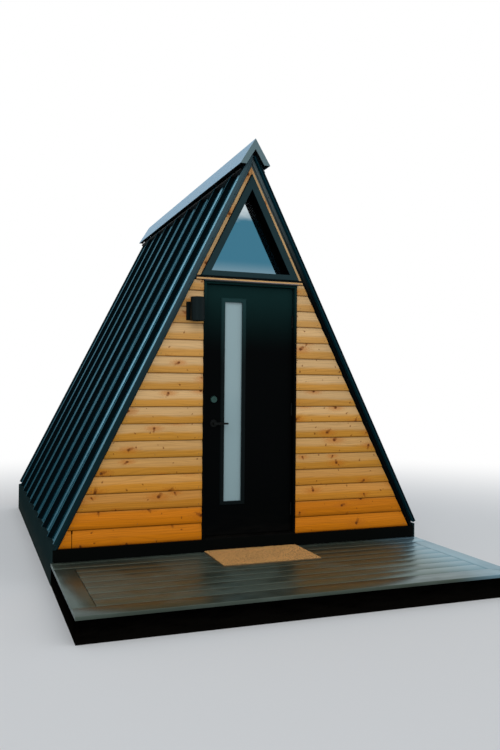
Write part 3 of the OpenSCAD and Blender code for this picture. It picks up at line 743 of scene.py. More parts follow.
def coir_fibre(name, shade):
    """Coconut fibre in flecks and tufts of slightly different brown."""
    finish = Finish(name)
    fleck = finish.noise(finish.place, 420.0, 3.0, 0.7)
    tuft = finish.noise(finish.place, 70.0, 3.0, 0.7)
    worn = finish.noise(finish.place, 5.0)
    light = 0.3 + 0.45 * fleck + 0.18 * worn + 0.75 * tuft
    tone = finish.shade(colours().coir, light * shade)
    tone = finish.blend(finish.fade(tuft, 0.56, 0.72) * 0.3, tone, linear(122, 80, 40))
    return finish.close(
        Base_Color=tone, Roughness=0.85, Normal=finish.bump(fleck, 0.0012))


def opal_lens():
    """Milky plastic."""
    finish = Finish("opal_lens")
    cloud = finish.noise(finish.place, 26.0, 2.0)
    return finish.close(
        Base_Color=finish.shade(linear(214, 214, 206), 0.9 + 0.12 * cloud),
        Roughness=0.3 + 0.1 * cloud)


# Forms
def skin(form, rings):
    """Joins a row of closed rings, caps both ends and returns the faces."""
    faces = [form.faces.new(list(reversed(rings[0]))), form.faces.new(rings[-1])]
    for first, second in zip(rings, rings[1:]):
        for i in range(len(first)):
            j = (i + 1) % len(first)
            faces.append(form.faces.new((first[i], first[j], second[j], second[i])))
    return faces


def prism(form, outline, y0, y1):
    """Adds a closed prism of an XZ outline between two Y places."""
    skin(form, [[form.verts.new((x, y, z)) for x, z in outline] for y in (y0, y1)])


def slope_bar(form, side, along, reach, low, high, y0, y1):
    """Adds a bar that lies on a slope: its place and reach up it, and between two distances."""
    corners = (along, low), (along + reach, low), (along + reach, high), (along, high)
    points = [on_slope(side, up, out, 0) for up, out in corners]
    prism(form, [(point.x, point.z) for point in points], y0, y1)


def block(form, low, high, ease=0.0):
    """Adds a box, with eased edges where ease is given."""
    made = bmesh.ops.create_cube(form, size=1.0)["verts"]
    low, high = Vector(low), Vector(high)
    for vert in made:
        vert.co = low + Vector([(vert.co[i] + 0.5) * (high - low)[i] for i in range(3)])
    if ease > 0:
        edges = {edge for vert in made for edge in vert.link_edges}
        bmesh.ops.bevel(
            form, geom=list(edges), offset=ease, segments=2, affect="EDGES", profile=0.5)


def fastener_pattern(name, material):
    """Round heads on points: each faces the way its point says."""
    pattern = Pattern(name, "Head diameter", "Head height", Sides="Int")
    given = pattern.given
    radius = given["Head diameter"] * 0.5
    rim = pattern.node("GeometryNodeMeshCylinder", {
        "Vertices": given["Sides"], "Radius": radius, "Depth": given["Head height"] * 0.5},
        fill_type="TRIANGLE_FAN")
    dome = pattern.node("GeometryNodeMeshCone", {
        "Vertices": given["Sides"], "Radius Bottom": radius * 0.82,
        "Radius Top": radius * 0.45, "Depth": given["Head height"] * 0.75},
        fill_type="TRIANGLE_FAN")
    both = pattern.node("GeometryNodeJoinGeometry")
    for part in (rim, dome):
        pattern.put(both.node, "Geometry", part["Mesh"])
    return pattern.finish(pattern.facing_copies(both["Geometry"]), material)


def fasten(name, places, material, body, slot, diameter, height, sides=8):
    """Makes one piece of like heads on one body."""
    piece = grow(name, points_mesh(name, places), fastener_pattern(name, material), {
        "Head diameter": diameter, "Head height": height, "Sides": sides})
    seat(piece, body, slot)


# Lap boards
def lap_depth(rise):
    """How far a board's face lies behind its crown, at this share of its height."""
    crown = 0.16
    if rise < crown:
        return sizes().lap_nose * (1 - rise / crown) ** 2
    return sizes().lap_fall * ((rise - crown) / (1 - crown)) ** 2


def left_end(z):
    """Where the boards end on the left, at a height."""
    return -edge_x(BOARD_OUT, z)


def right_end(z):
    """Where the boards end on the right, at a height."""
    return edge_x(BOARD_OUT, z)


def courses(top, least):
    """Number, foot and height of each course of lap boards, the last at least so high."""
    pitch = sizes().lap_pitch
    number, z = 0, FOOT
    while z < top - least:
        yield number, z, min(pitch, top - z)
        z += pitch
        number += 1


def nail_places(left, right, foot, reach, depth=0.0, facing=1):
    """Nail places along one course, none where it is low or narrow."""
    spacing, inset, nail_rise, nail_share = 0.41, 0.03, 0.024, 0.2
    least_reach, least_half, least_width = 0.06, 0.1, 0.02
    z = foot + nail_rise
    width = right(z) - left(z) - 2 * inset
    if reach <= least_reach or edge_x(0, z) <= least_half or width < least_width:
        return []
    y = depth + facing * lap_depth(nail_share)
    count = max(1, round(width / spacing))
    return [
        (Vector((left(z) + inset + width * i / count, y, z)), Vector((0, -facing, 0)))
        for i in range(count + 1)]


def nail(name, places):
    """Makes the heads of one wall's nails."""
    steel = bpy.data.materials["nail_steel"]
    fasten(name, places, steel, "cabin", "board_timber", sizes().nail_head, height=0.0012)


class BoardForm:
    """Boards gathered in one bmesh, with their grain map, tone and rise."""

    def __init__(self, seed):
        self.form = bmesh.new()
        self.grain = self.form.loops.layers.uv.new("grain")
        self.rise = self.form.verts.layers.float.new("rise")
        self.tone = self.form.verts.layers.float.new("tone")
        self.draw = random.Random(seed)

    def map_shift(self):
        """Where a board starts on the grain map."""
        return Vector((self.draw.uniform(0, 40), self.draw.uniform(0, 40)))

    def vertex(self, place, rise, tone):
        vert = self.form.verts.new(place)
        vert[self.rise] = rise
        vert[self.tone] = tone
        return vert

    def rings(self, rings, map_point):
        """Skins a row of closed rings and maps the grain."""
        for face in skin(self.form, rings):
            for loop in face.loops:
                loop[self.grain].uv = map_point(loop.vert.co)

    def lap_board(self, z, reach, left, right, depth=0.0, facing=1):
        """One lap board between two slanting ends, with a slight bow along its length."""
        most_bow, station = 0.0006, 0.3
        pitch = sizes().lap_pitch
        tone = self.draw.random()
        shift = self.map_shift()
        bow = self.draw.uniform(-most_bow, most_bow)
        top = reach / pitch
        shares = (0.0, 0.03, 0.07, 0.12, 0.18, 0.3, 0.44, 0.58, 0.7, 0.82, 0.92, 1.0)
        front = [share for share in shares if share < top - 0.01] + [top]
        outline = [(lap_depth(rise), z + rise * pitch, rise) for rise in front]
        outline += [(BOARD_BACK, z + reach, 1.0), (BOARD_BACK, z, 0.0)]
        stations = max(2, round((right(z) - left(z)) / station))
        rings = []
        for k in range(stations + 1):
            u = k / stations
            lean = bow * math.sin(math.pi * u)
            ring = []
            for inward, level, rise in outline:
                x = left(level) + (right(level) - left(level)) * u
                shown = inward if inward == BOARD_BACK else inward + lean
                ring.append(self.vertex((x, depth + facing * shown, level), rise, tone))
            rings.append(ring)
        self.rings(rings, lambda p: (p.x + shift.x, p.z + p.y + shift.y))

    def strip(self, corners, y0, y1, along, ease):
        """A flat board with any four-cornered outline in XZ, its front edges eased."""
        tone = 0.5 + 0.5 * self.draw.random()
        shift = self.map_shift()
        corners = [Vector(corner) for corner in corners]
        centre = sum(corners, Vector((0, 0))) / len(corners)
        direction = Vector(along).normalized()
        across = Vector((-direction.y, direction.x))

        def ring(y, inset):
            out = []
            for corner in corners:
                pull = centre - corner
                pull = direction * math.copysign(inset, pull.dot(direction)) \
                    + across * math.copysign(inset, pull.dot(across))
                x, z = corner + pull
                out.append(self.vertex((x, y, z), 1.0, tone))
            return out

        def grain(p):
            flat = Vector((p.x, p.z))
            return flat.dot(direction) + shift.x, flat.dot(across) + p.y + shift.y

        self.rings([ring(y0, ease), ring(y0 + ease, 0), ring(y1, 0)], grain)


class CABIN_OT_stage(bpy.types.Operator):
    """Makes the floor, the light and the camera"""

    bl_idname = "cabin.stage"
    bl_label = "Stage"
    bl_options = {"REGISTER", "UNDO"}

    def execute(self, context):
        scene = context.scene
        scene.view_settings.view_transform = "Standard"
        self.floor()
        self.world(scene)
        self.lamps()
        self.camera(scene)
        return {"FINISHED"}

    def floor(self):
        half = 60.0
        mesh = bpy.data.meshes.new("stage_floor")
        mesh.from_pydata(
            [(-half, -half, 0), (half, -half, 0), (half, half, 0), (-half, half, 0)],
            [], [(0, 1, 2, 3)])
        finish = Finish("stage_floor")
        away = finish.vector_math("LENGTH", finish.place)["Value"]
        path = finish.node("ShaderNodeLightPath")
        far = finish.fade(away, 3.2, 10.0) * path["Is Camera Ray"]
        pale = finish.node("ShaderNodeBsdfDiffuse", {"Color": linear(226, 226, 224)})
        white = finish.node("ShaderNodeEmission", {"Color": (1, 1, 1), "Strength": 1.0})
        mixed = finish.node("ShaderNodeMixShader", {
            "Fac": far, 1: pale["BSDF"], 2: white["Emission"]})
        finish.node("ShaderNodeOutputMaterial", {"Surface": mixed["Shader"]})
        mesh.materials.append(finish.material)
        floor = placed("stage_floor", mesh)
        floor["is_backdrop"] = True

    def world(self, scene):
        """White where it is seen, mirrored or seen through, and softer as a light."""
        scene.world = bpy.data.worlds.new("studio")
        scene.world.use_nodes = True
        graph = Graph(scene.world.node_tree)
        graph.tree.nodes.clear()
        path = graph.node("ShaderNodeLightPath")
        seen = graph.math("MAXIMUM", path["Is Camera Ray"], path["Is Glossy Ray"])
        seen = graph.math("MAXIMUM", seen, path["Is Transmission Ray"])
        soft = graph.node("ShaderNodeBackground", {
            "Color": linear(240, 246, 255), "Strength": 0.62})
        white = graph.node("ShaderNodeBackground", {
            "Color": (1.0, 1.0, 1.0), "Strength": 1.0})
        mixed = graph.node("ShaderNodeMixShader", {
            "Fac": seen, 1: soft["Background"], 2: white["Background"]})
        graph.node("ShaderNodeOutputWorld", {"Surface": mixed["Shader"]})

    def lamps(self):
        for name, turn, strength, spread in (
            ("key", (58, 0, -24), 1.0, 50.0),
            ("fill", (62, 0, 40), 0.35, 70.0),
        ):
            lamp = bpy.data.lights.new(name, "SUN")
            lamp.energy = strength
            lamp.angle = math.radians(spread)
            placed(name, lamp).rotation_euler = [math.radians(angle) for angle in turn]

    def camera(self, scene):
        """The photograph's own view, as a frame of 500 by 750."""
        focal_pixels = 749.13
        frame_height = 750.0
        yaw, pitch, roll = 0.3614, 0.0112, 0.009
        place = Vector((-2.176, -5.763, 1.518))
        ahead = Vector((
            math.sin(yaw) * math.cos(pitch), math.cos(yaw) * math.cos(pitch), math.sin(pitch)))
        right = Vector((math.cos(yaw), -math.sin(yaw), 0.0))
        up = right.cross(ahead)
        across = right * math.cos(roll) + up * math.sin(roll)
        above = up * math.cos(roll) - right * math.sin(roll)
        lens = bpy.data.cameras.new("camera")
        lens.sensor_fit = "VERTICAL"
        lens.sensor_height = 36.0
        lens.lens = focal_pixels / frame_height * lens.sensor_height
        lens.clip_end = 300.0
        scene.camera = placed("camera", lens)
        turn = Matrix((across, above, -ahead)).transposed().to_4x4()
        scene.camera.matrix_world = Matrix.Translation(place) @ turn


class CABIN_OT_finishes(bpy.types.Operator):
    """Gives every construction piece that shows its own finish, and makes those of the boards"""

    bl_idname = "cabin.finishes"
    bl_label = "Finishes"
    bl_options = {"REGISTER", "UNDO"}

    def execute(self, context):
        tints = colours()
        turned = (0, 0, math.pi / 2)
        upright = (0, math.pi / 2, 0)
        wood_boards()
        brushed_dark_metal("nail_steel", linear(92, 84, 74), rough=0.5)
        satin_paint("flashing_black", linear(10, 11, 12), rough=0.45)
        given = {
            satin_paint(
                "base_paint", tints.base, rough=0.5, gloss=0.02,
                dirt=0.04, dirt_top=0.22, grain=0.0003): ("base_front", "base_rear"),
            satin_paint(
                "fascia_paint", tints.fascia, rough=0.6, gloss=0.0,
                dirt=0.02, dirt_top=0.22, grain=0.0003): (
                "deck_fascia_front", "deck_fascia_sides"),
            satin_paint(
                "skirt_paint", tints.skirt, rough=0.6, gloss=0.0,
                dirt=0.1, dirt_top=0.3, grain=0.0003): ("skirt_left", "skirt_right"),
            # Painted reflection of the sky: the trim paint paler upwards.
            satin_paint(
                "trim_paint", tints.trim, rough=0.36, gloss=0.15,
                top=(linear(64, 86, 92), 1.0, 3.2)): ("rake_trim_front_left",),
            # Painted shade: a near-black copy of the trim paint for the right and rear trims,
            # paler upwards as a painted reflection of the sky.
            satin_paint(
                "trim_paint_right", linear(7, 10, 11), rough=0.4, gloss=0.04,
                top=(linear(86, 100, 102), 2.2, 3.3)): (
                "rake_trim_front_right", "rake_trim_rear"),
            # Painted reflection of the sky: the door's black paint turns teal upwards.
            satin_paint(
                "door_paint", tints.door, rough=0.42, gloss=0.03, dirt=0.05, dirt_top=0.6,
                top=(linear(16, 41, 40), 1.75, 2.4)): ("door_frame", "threshold", "door_slab"),
            # Painted reflection of the sky: the glass frame's paint turns teal upwards.
            satin_paint(
                "glass_frame_paint", linear(5, 8, 8), rough=0.36, gloss=0.1,
                top=(linear(24, 50, 50), 1.6, 2.3)): ("door_lite_frame",),
            satin_paint("powder_black", linear(6, 13, 13), gloss=0.14, grain=0.0002): (
                "light_plate", "light_body"),
            window_paint(): ("window_frame",),
            brushed_dark_metal("hardware_dark", linear(12, 15, 15)): (
                "hinge_frame_side", "hinge_door_side", "lock_roses", "lever"),
            brushed_dark_metal("hardware_deadbolt", linear(46, 72, 68), rough=0.25): (
                "deadbolt",),
            drip_metal(): ("drip_cap",),
            roof_steel(): ("roof_sheet_left", "roof_sheet_right"),
            bare_zinc(): ("ridge_cap",),
            plain_timber("stud_timber", tints.timber, upright): (
                "front_wall_left", "front_wall_right", "front_wall_header", "rear_wall"),
            plain_timber("rafter_timber", tints.timber, upright): (
                "roof_panel_left", "roof_panel_right"),
            plain_timber("joist_timber", tints.timber): ("floor_frame", "deck_joists"),
            plain_timber("floor_plywood", linear(206, 168, 120), turned, rough=0.4): (
                "floor",),
            plain_timber("lining_plywood", linear(222, 188, 144), turned, rough=0.5): (
                "lining_left", "lining_right"),
            plain_timber("lath_timber", linear(214, 166, 104)): ("gable_ledge",),
            frosted_glass(): ("door_glass",),
            window_glass(): ("window_glass",),
        }
        for material, nodes in given.items():
            for name in nodes:
                mesh = frame["nodes"][name].data
                mesh.materials.clear()
                mesh.materials.append(material)
        return {"FINISHED"}


class CABIN_OT_front_boards(bpy.types.Operator):
    """Makes the lap boards beside the doorway and their nails"""

    bl_idname = "cabin.front_boards"
    bl_label = "Front boards"
    bl_options = {"REGISTER", "UNDO"}

    # The butt joint in the lowest board on the left, and the face of the dark block behind it that
    # paints the gap's shadow
    butt_x = -1.42
    butt_face = 0.0065

    def execute(self, context):
        wood = bpy.data.materials["lap_board_wood"]
        gap = sizes().board_gap
        nails = []
        for side, seed, left, right in (
            ("left", 11, left_end, lambda z: DOORWAY_LOW.x - gap),
            ("right", 12, lambda z: DOORWAY_HIGH.x + gap, right_end),
        ):
            boards = BoardForm(seed)
            for number, z, reach in courses(DOORWAY_HIGH.z, least=0.005):
                if side == "left" and number == 0:
                    boards.lap_board(z, reach, left, lambda z: self.butt_x - 2 * gap)
                    boards.lap_board(z, reach, lambda z: self.butt_x + gap, right)
                else:
                    boards.lap_board(z, reach, left, right)
                nails += nail_places(left, right, z, reach)
            piece = made_of("boards_front_" + side, boards.form, wood)
            seat(piece, "cabin", "board_timber", "siding_front_" + side)
        nail("nails_front", nails)
        joint = bmesh.new()
        block(joint, (self.butt_x - 0.006, self.butt_face, FOOT + 0.001),
              (self.butt_x + 0.005, BOARD_BACK, FOOT + sizes().lap_pitch - 0.001))
        dark = satin_paint("joint_shadow", linear(36, 16, 4), rough=0.7, gloss=0.0)
        seat(made_of("butt_joint_shadow", joint, dark), "cabin", "board_timber")
        return {"FINISHED"}


class CABIN_OT_gable_strips(bpy.types.Operator):
    """Makes the narrow strips round the window, and a black band under it that paints the shadow
    there
    """

    bl_idname = "cabin.gable_strips"
    bl_label = "Gable strips"
    bl_options = {"REGISTER", "UNDO"}

    # Heights of the joints in the strips on each side
    joints_left = (2.872,)
    joints_right = (2.572, 2.910)

    def execute(self, context):
        inner, outer, gap = -0.0285, BOARD_OUT, 0.0008
        strips = BoardForm(31)
        foot = WINDOW_LOW.z + 0.004
        for side, joints in ((-1, self.joints_left), (1, self.joints_right)):
            along = (-side * math.cos(SLOPE), math.sin(SLOPE))
            for low, high in zip((foot, *joints), (*joints, None)):
                bottom = [(side * edge_x(out, low), low) for out in (inner, outer)]
                if high is None:
                    top = [(side * gap, apex_z(out)) for out in (outer, inner)]
                else:
                    high -= 2 * gap
                    top = [(side * edge_x(out, high), high) for out in (outer, inner)]
                strips.strip(bottom + top, 0.0, BOARD_BACK, along, ease=0.0015)
        piece = made_of("gable_strips", strips.form, bpy.data.materials["lap_board_wood"])
        seat(piece, "cabin", "board_timber", "siding_gable_top")
        # Painted shadow: a black band between the doorway's head and the window's foot.
        low, high = DOORWAY_HIGH.z + 0.001, foot - 0.003
        band = bmesh.new()
        prism(band, [
            (-edge_x(outer, low), low), (edge_x(outer, low), low),
            (edge_x(outer, high), high), (-edge_x(outer, high), high)], 0.005, BOARD_BACK)
        paint = bpy.data.materials["flashing_black"]
        seat(made_of("gable_shadow_band", band, paint), "cabin", "black_paint", "siding_gable_top")
        return {"FINISHED"}


class CABIN_OT_rear_boards(bpy.types.Operator):
    """Makes the lap boards of the rear wall and their nails"""

    bl_idname = "cabin.rear_boards"
    bl_label = "Rear boards"
    bl_options = {"REGISTER", "UNDO"}

    def execute(self, context):
        top_gap, jointed_half = 0.004, 0.8
        back = {"depth": REAR_HIGH.y, "facing": -1}
        gap = sizes().board_gap / 2
        boards = BoardForm(51)
        nails = []
        for number, z, reach in courses(apex_z(-top_gap), least=0.01):
            joint = boards.draw.uniform(-0.5, 0.5)
            if number % 2 == 0 and edge_x(0, z) > jointed_half:
                boards.lap_board(z, reach, left_end, lambda z: joint - gap, **back)
                boards.lap_board(z, reach, lambda z: joint + gap, right_end, **back)
            else:
                boards.lap_board(z, reach, left_end, right_end, **back)
            nails += nail_places(left_end, right_end, z, reach, **back)
        piece = made_of("boards_rear", boards.form, bpy.data.materials["lap_board_wood"])
        seat(piece, "cabin", "board_timber", "siding_rear")
        nail("nails_rear", nails)
        return {"FINISHED"}


class CABIN_OT_deck(bpy.types.Operator):
    """Makes the deck boards: a row of field boards and a border round them"""

    bl_idname = "cabin.deck"
    bl_label = "Deck boards"
    bl_options = {"REGISTER", "UNDO"}

    # Depth of deck behind the field boards, and how far the boards' foot is above the solid's
    back_depth = 0.212
    lift = 0.0005

    def execute(self, context):
        size = sizes()
        wet = wet_deck("wet_deck")
        half, edge = DECK_HIGH.x, size.deck_gap / 2
        thick = DECK_HIGH.z - DECK_LOW.z
        front_edge = DECK_LOW.y + size.deck_front
        count = round((-front_edge - self.back_depth) / size.deck_pitch)
        back_edge = front_edge + count * size.deck_pitch
        back_board = back_edge + size.deck_pitch
        inner = half - size.deck_border
        slant = size.deck_front - size.deck_border
        host = bpy.data.meshes.new("deck_field_host")
        host.from_pydata([(0, 0, 0)], [], [])
        field = grow("deck_field", host, self.board_pattern(wet), {
            "Count": count, "Pitch": size.deck_pitch,
            "Width": size.deck_pitch - size.deck_gap, "Thickness": thick - self.lift,
            "Half length": inner - edge - edge, "Edge radius": size.deck_round,
            "Start": Vector((0, front_edge + size.deck_pitch / 2, DECK_HIGH.z - thick / 2))})
        seat(field, "cabin", "deck_board", "deck_boards")
        self.planks("deck_border_long", wet, (
            (0.35, self.rectangle(-half, half, back_board + edge, DECK_HIGH.y)),
            (0.6, self.rectangle(-half, half, back_edge + edge, back_board - edge)),
            (-0.9, [(-half, DECK_LOW.y), (half - size.deck_gap, DECK_LOW.y),
                    (inner + slant - size.deck_gap, front_edge - edge),
                    (-half, front_edge - edge)])))
        wet_side = wet_deck("wet_deck_sides", (0, 0, math.pi / 2))
        self.planks("deck_border_sides", wet_side, (
            (-0.3, self.rectangle(-half, -inner, front_edge + edge, back_edge - edge)),
            (0.4, [(inner, front_edge + edge), (inner + slant, front_edge - edge),
                   (half, DECK_LOW.y + size.deck_gap), (half, back_edge - edge),
                   (inner, back_edge - edge)])))
        return {"FINISHED"}

    @staticmethod
    def rectangle(x0, x1, y0, y1):
        return [(x0, y0), (x1, y0), (x1, y1), (x0, y1)]

    def planks(self, name, material, boards):
        """Flat boards, each with its tone and any outline, with rounded edges."""
        form = bmesh.new()
        tone = form.verts.layers.float.new("tone")
        for value, outline in boards:
            rings = [
                [form.verts.new((x, y, z)) for x, y in outline]
                for z in (DECK_LOW.z + self.lift, DECK_HIGH.z)]
            edges = {edge for face in skin(form, rings) for edge in face.edges}
            made = bmesh.ops.bevel(
                form, geom=list(edges), offset=sizes().deck_round, segments=3,
                affect="EDGES", profile=0.5)
            for vert in made["verts"]:
                vert[tone] = value
        seat(made_of(name, form, material), "cabin", "deck_board")

    @staticmethod
    def board_pattern(material):
        """A row of like boards: a rounded section swept along X and repeated along Y."""
        pattern = Pattern(
            "deck_field", "Pitch", "Width", "Thickness", "Half length", "Edge radius",
            Count="Int", Start="Vector")
        given = pattern.given
        section = pattern.node("GeometryNodeCurvePrimitiveQuadrilateral", {
            "Width": given["Width"], "Height": given["Thickness"]})
        rounded = pattern.node("GeometryNodeFilletCurve", {
            "Curve": section["Curve"], "Count": 3, "Radius": given["Edge radius"]}, mode="POLY")
        row = pattern.node("GeometryNodeMeshLine", {
            "Count": given["Count"], "Start Location": given["Start"],
            "Offset": pattern.vector(Y=given["Pitch"])}, mode="OFFSET")
        boards = pattern.copies(
            row["Mesh"], pattern.bar(rounded["Curve"], given["Half length"]))
        chance = pattern.node("FunctionNodeRandomValue", {"Seed": 4}, data_type="FLOAT")
        toned = pattern.node("GeometryNodeStoreNamedAttribute", {
            "Geometry": boards, "Name": "tone", "Value": chance["Value_001"]},
            data_type="FLOAT", domain="INSTANCE")
        return pattern.finish(toned["Geometry"], material)


class CABIN_OT_doormat(bpy.types.Operator):
    """Makes the coir door mat: a backing with a pile of bristles"""

    bl_idname = "cabin.doormat"
    bl_label = "Door mat"
    bl_options = {"REGISTER", "UNDO"}

    # The backing's height, how far it stays inside the mat's box, and the pile's corner radius
    backing = 0.009
    inset = 0.004
    corner = 0.012
    # A bristle's width at its foot, and how far it may lean, in radians
    bristle_width = 0.0021
    bristle_lean = 0.42

    def execute(self, context):
        mat_low, mat_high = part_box("doormat")
        low = Vector((mat_low.x + self.inset, mat_low.y + self.inset))
        high = Vector((mat_high.x - self.inset, mat_high.y - self.inset))
        top_z = mat_low.z + self.backing
        backing = bmesh.new()
        block(backing, (low.x, low.y, mat_low.z), (high.x, high.y, top_z), ease=0.0015)
        # Painted shade: the backing is a much darker coir, so its edge reads as the mat's shadow.
        piece = made_of("doormat_backing", backing, coir_fibre("coir_backing", 0.16))
        seat(piece, "cabin", "mat_coir", "doormat")
        outline = []
        for x, y, start in (
            (high.x, high.y, 0), (low.x, high.y, 90), (low.x, low.y, 180), (high.x, low.y, 270),
        ):
            inward_x = -self.corner if x == high.x else self.corner
            inward_y = -self.corner if y == high.y else self.corner
            for step in range(0, 91, 30):
                angle = math.radians(start + step)
                outline.append((
                    x + inward_x + self.corner * math.cos(angle),
                    y + inward_y + self.corner * math.sin(angle), top_z - 0.001))
        top = bpy.data.meshes.new("doormat_top")
        top.from_pydata(outline, [], [tuple(range(len(outline)))])
        pile = grow("doormat_pile", top, self.bristle_pattern(coir_fibre("coir_pile", 1.0)), {
            "Density": sizes().bristle_density, "Length": sizes().bristle,
            "Thickness": self.bristle_width, "Lean": self.bristle_lean})
        seat(pile, "cabin", "mat_coir")
        return {"FINISHED"}

    @staticmethod
    def bristle_pattern(material):
        """Slim three-sided bristles scattered on a face, each leaning its own way."""
        pattern = Pattern("coir_bristles", "Density", "Length", "Thickness", "Lean")
        given = pattern.given
        points = pattern.node("GeometryNodeDistributePointsOnFaces", {
            "Mesh": given["Geometry"], "Density": given["Density"], "Seed": 7})
        bristle = pattern.node("GeometryNodeMeshCone", {
            "Vertices": 3, "Radius Top": 0.0, "Radius Bottom": given["Thickness"] * 0.5,
            "Depth": given["Length"]}, fill_type="NGON")
        lean = pattern.vector(X=given["Lean"], Y=given["Lean"], Z=math.pi)
        back = pattern.vector_math("SCALE", lean, Scale=-1.0)
        turn = pattern.node("FunctionNodeRandomValue", {
            "Min": back["Vector"], "Max": lean, "Seed": 8}, data_type="FLOAT_VECTOR")
        size = pattern.node("FunctionNodeRandomValue", {
            "Min_001": 0.7, "Max_001": 1.05, "Seed": 9}, data_type="FLOAT")
        bristles = pattern.copies(
            points["Points"], bristle["Mesh"], Rotation=turn["Value"], Scale=size["Value_001"])
        return pattern.finish(bristles, material)


class CABIN_OT_roof_fixings(bpy.types.Operator):
    """Makes the roof's ribs and closures and the screws of the ridge cap and rake trims"""

    bl_idname = "cabin.roof_fixings"
    bl_label = "Roof fixings"
    bl_options = {"REGISTER", "UNDO"}

    seam_count = 8
    # Distances square to the slope: the sheet's face, the seams' tops and the trims' screws
    sheet_out = 0.0386
    seam_out = 0.0797
    trim_out = 0.0235
    # Half distances between the cap's rows of screws and between the closures
    screw_x = 0.108
    closure_x = 0.075
    # A rib's share of a pan from the seam behind it, its width and its height
    rib_place = 0.28
    rib_width = 0.03
    rib_height = 0.01
    # The trims' screws on each slope: their number, the first one's place, and their spacing
    trim_count = 8
    trim_first = 0.18
    trim_pitch = 0.42

    def execute(self, context):
        self.screws()
        self.closures()
        self.eave_strips()
        self.ribs()
        return {"FINISHED"}

    def screws(self):
        """Screws through the cap over each seam, and through the rake trims."""
        zinc = bpy.data.materials["bare_zinc"]
        on_cap, on_trims = [], []
        faces = (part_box("rake_trim_front_left")[0].y, -1), (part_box("rake_trim_rear")[1].y, 1)
        z = CAP_HIGH.z - CAP_FALL * self.screw_x
        for side in (-1, 1):
            normal = Vector((side * math.sin(CAP_SLOPE), 0.0, math.cos(CAP_SLOPE)))
            for i in range(self.seam_count):
                place = Vector((side * self.screw_x, SEAM_FIRST + i * SEAM_PITCH, z))
                on_cap.append((place + normal * 0.0005, normal))
            for k in range(self.trim_count):
                along = self.trim_first + k * self.trim_pitch
                for y, facing in faces:
                    place = on_slope(side, along, self.trim_out, y)
                    on_trims.append((place, Vector((0, facing, 0))))
        fasten("cap_screws", on_cap, zinc, "cabin", "cap_zinc", sizes().screw_head, height=0.004)
        dark = satin_paint("trim_screws", linear(24, 28, 30), rough=0.35)
        fasten("trim_screws", on_trims, dark, "cabin", "black_paint",
               diameter=0.008, height=0.003)

    def eave_strips(self):
        """Folded strips that cover the foot of the roof panels between the sheet and the skirt."""
        form = bmesh.new()
        for side in (-1, 1):
            slope_bar(form, side, along=0.0, reach=0.045, low=0.0352, high=0.0365,
                      y0=0.0, y1=REAR_HIGH.y)
        skirt = bpy.data.materials["skirt_paint"]
        seat(made_of("eave_strips", form, skirt), "cabin", "skirt_grey")

    def ribs(self):
        """A low rounded rib along each pan, from the eave to the closure."""
        # Just above the sheet's folded foot, just short of the closure, and sunk in the sheet
        foot, top = 0.034, self.closure_along() - 0.002
        out = self.sheet_out - 0.0004
        places = []
        for side in (-1, 1):
            normal = Vector((side * math.sin(SLOPE), 0.0, math.cos(SLOPE)))
            for i in range(self.seam_count + 1):
                y = SEAM_FIRST + (i - self.rib_place) * SEAM_PITCH
                places.append((on_slope(side, (foot + top) / 2, out, y), normal))
        tree = self.rib_pattern(rib_steel())
        piece = grow("pan_ribs", points_mesh("pan_ribs_host", places), tree, {
            "Width": self.rib_width, "Height": self.rib_height,
            "Half length": (top - foot) / 2})
        seat(piece, "cabin", "roof_black")

    @staticmethod
    def rib_pattern(material):
        """A half-round section swept along the slope, on points that face out of the roof."""
        pattern = Pattern("pan_ribs", "Width", "Height", "Half length")
        given = pattern.given
        half = given["Width"] * 0.5
        arc = pattern.node("GeometryNodeCurveArc", {
            "Resolution": 9, "Radius": half, "Start Angle": math.pi, "Sweep Angle": math.pi},
            mode="RADIUS")
        section = pattern.node("GeometryNodeTransform", {
            "Geometry": arc["Curve"],
            "Scale": pattern.vector(X=1.0, Y=given["Height"] / half, Z=1.0)})
        closed = pattern.node("GeometryNodeSetSplineCyclic", {
            "Geometry": section["Geometry"], "Cyclic": True})
        rib = pattern.bar(closed["Geometry"], given["Half length"])
        return pattern.finish(pattern.facing_copies(rib), material)

    def closure_along(self):
        """How far up the slope the closures stand."""
        along = HALF + self.sheet_out * math.sin(SLOPE) - self.closure_x
        return along / math.cos(SLOPE)

    def closures(self):
        """Folded strips that close the pans between the seams under the cap."""
        form = bmesh.new()
        along = self.closure_along()
        # Thickness along the slope, and gaps to the seams and to the sheets' ends
        thick, seam_gap, end_gap = 0.018, 0.01, 0.032
        for side in (-1, 1):
            for i in range(self.seam_count + 1):
                start = SEAM_FIRST + (i - 1) * SEAM_PITCH + seam_gap
                end = SEAM_FIRST + i * SEAM_PITCH - seam_gap
                slope_bar(
                    form, side, along, thick, self.sheet_out, self.seam_out,
                    max(start, SHEET_LOW.y + end_gap), min(end, SHEET_HIGH.y - end_gap))
        # A plate that closes the rear end of the space between the sheets and the cap
        half = self.closure_x
        under = CAP_HIGH.z - 0.0045
        ridge = apex_z(self.sheet_out)
        foot = ridge - half * math.tan(SLOPE)
        prism(form, [
            (-half, foot), (0, ridge), (half, foot),
            (half, under - half * CAP_FALL), (0, under), (-half, under - half * CAP_FALL),
        ], SHEET_HIGH.y - 0.035, SHEET_HIGH.y - end_gap)
        black = bpy.data.materials["flashing_black"]
        seat(made_of("cap_closures", form, black), "cabin", "roof_black")


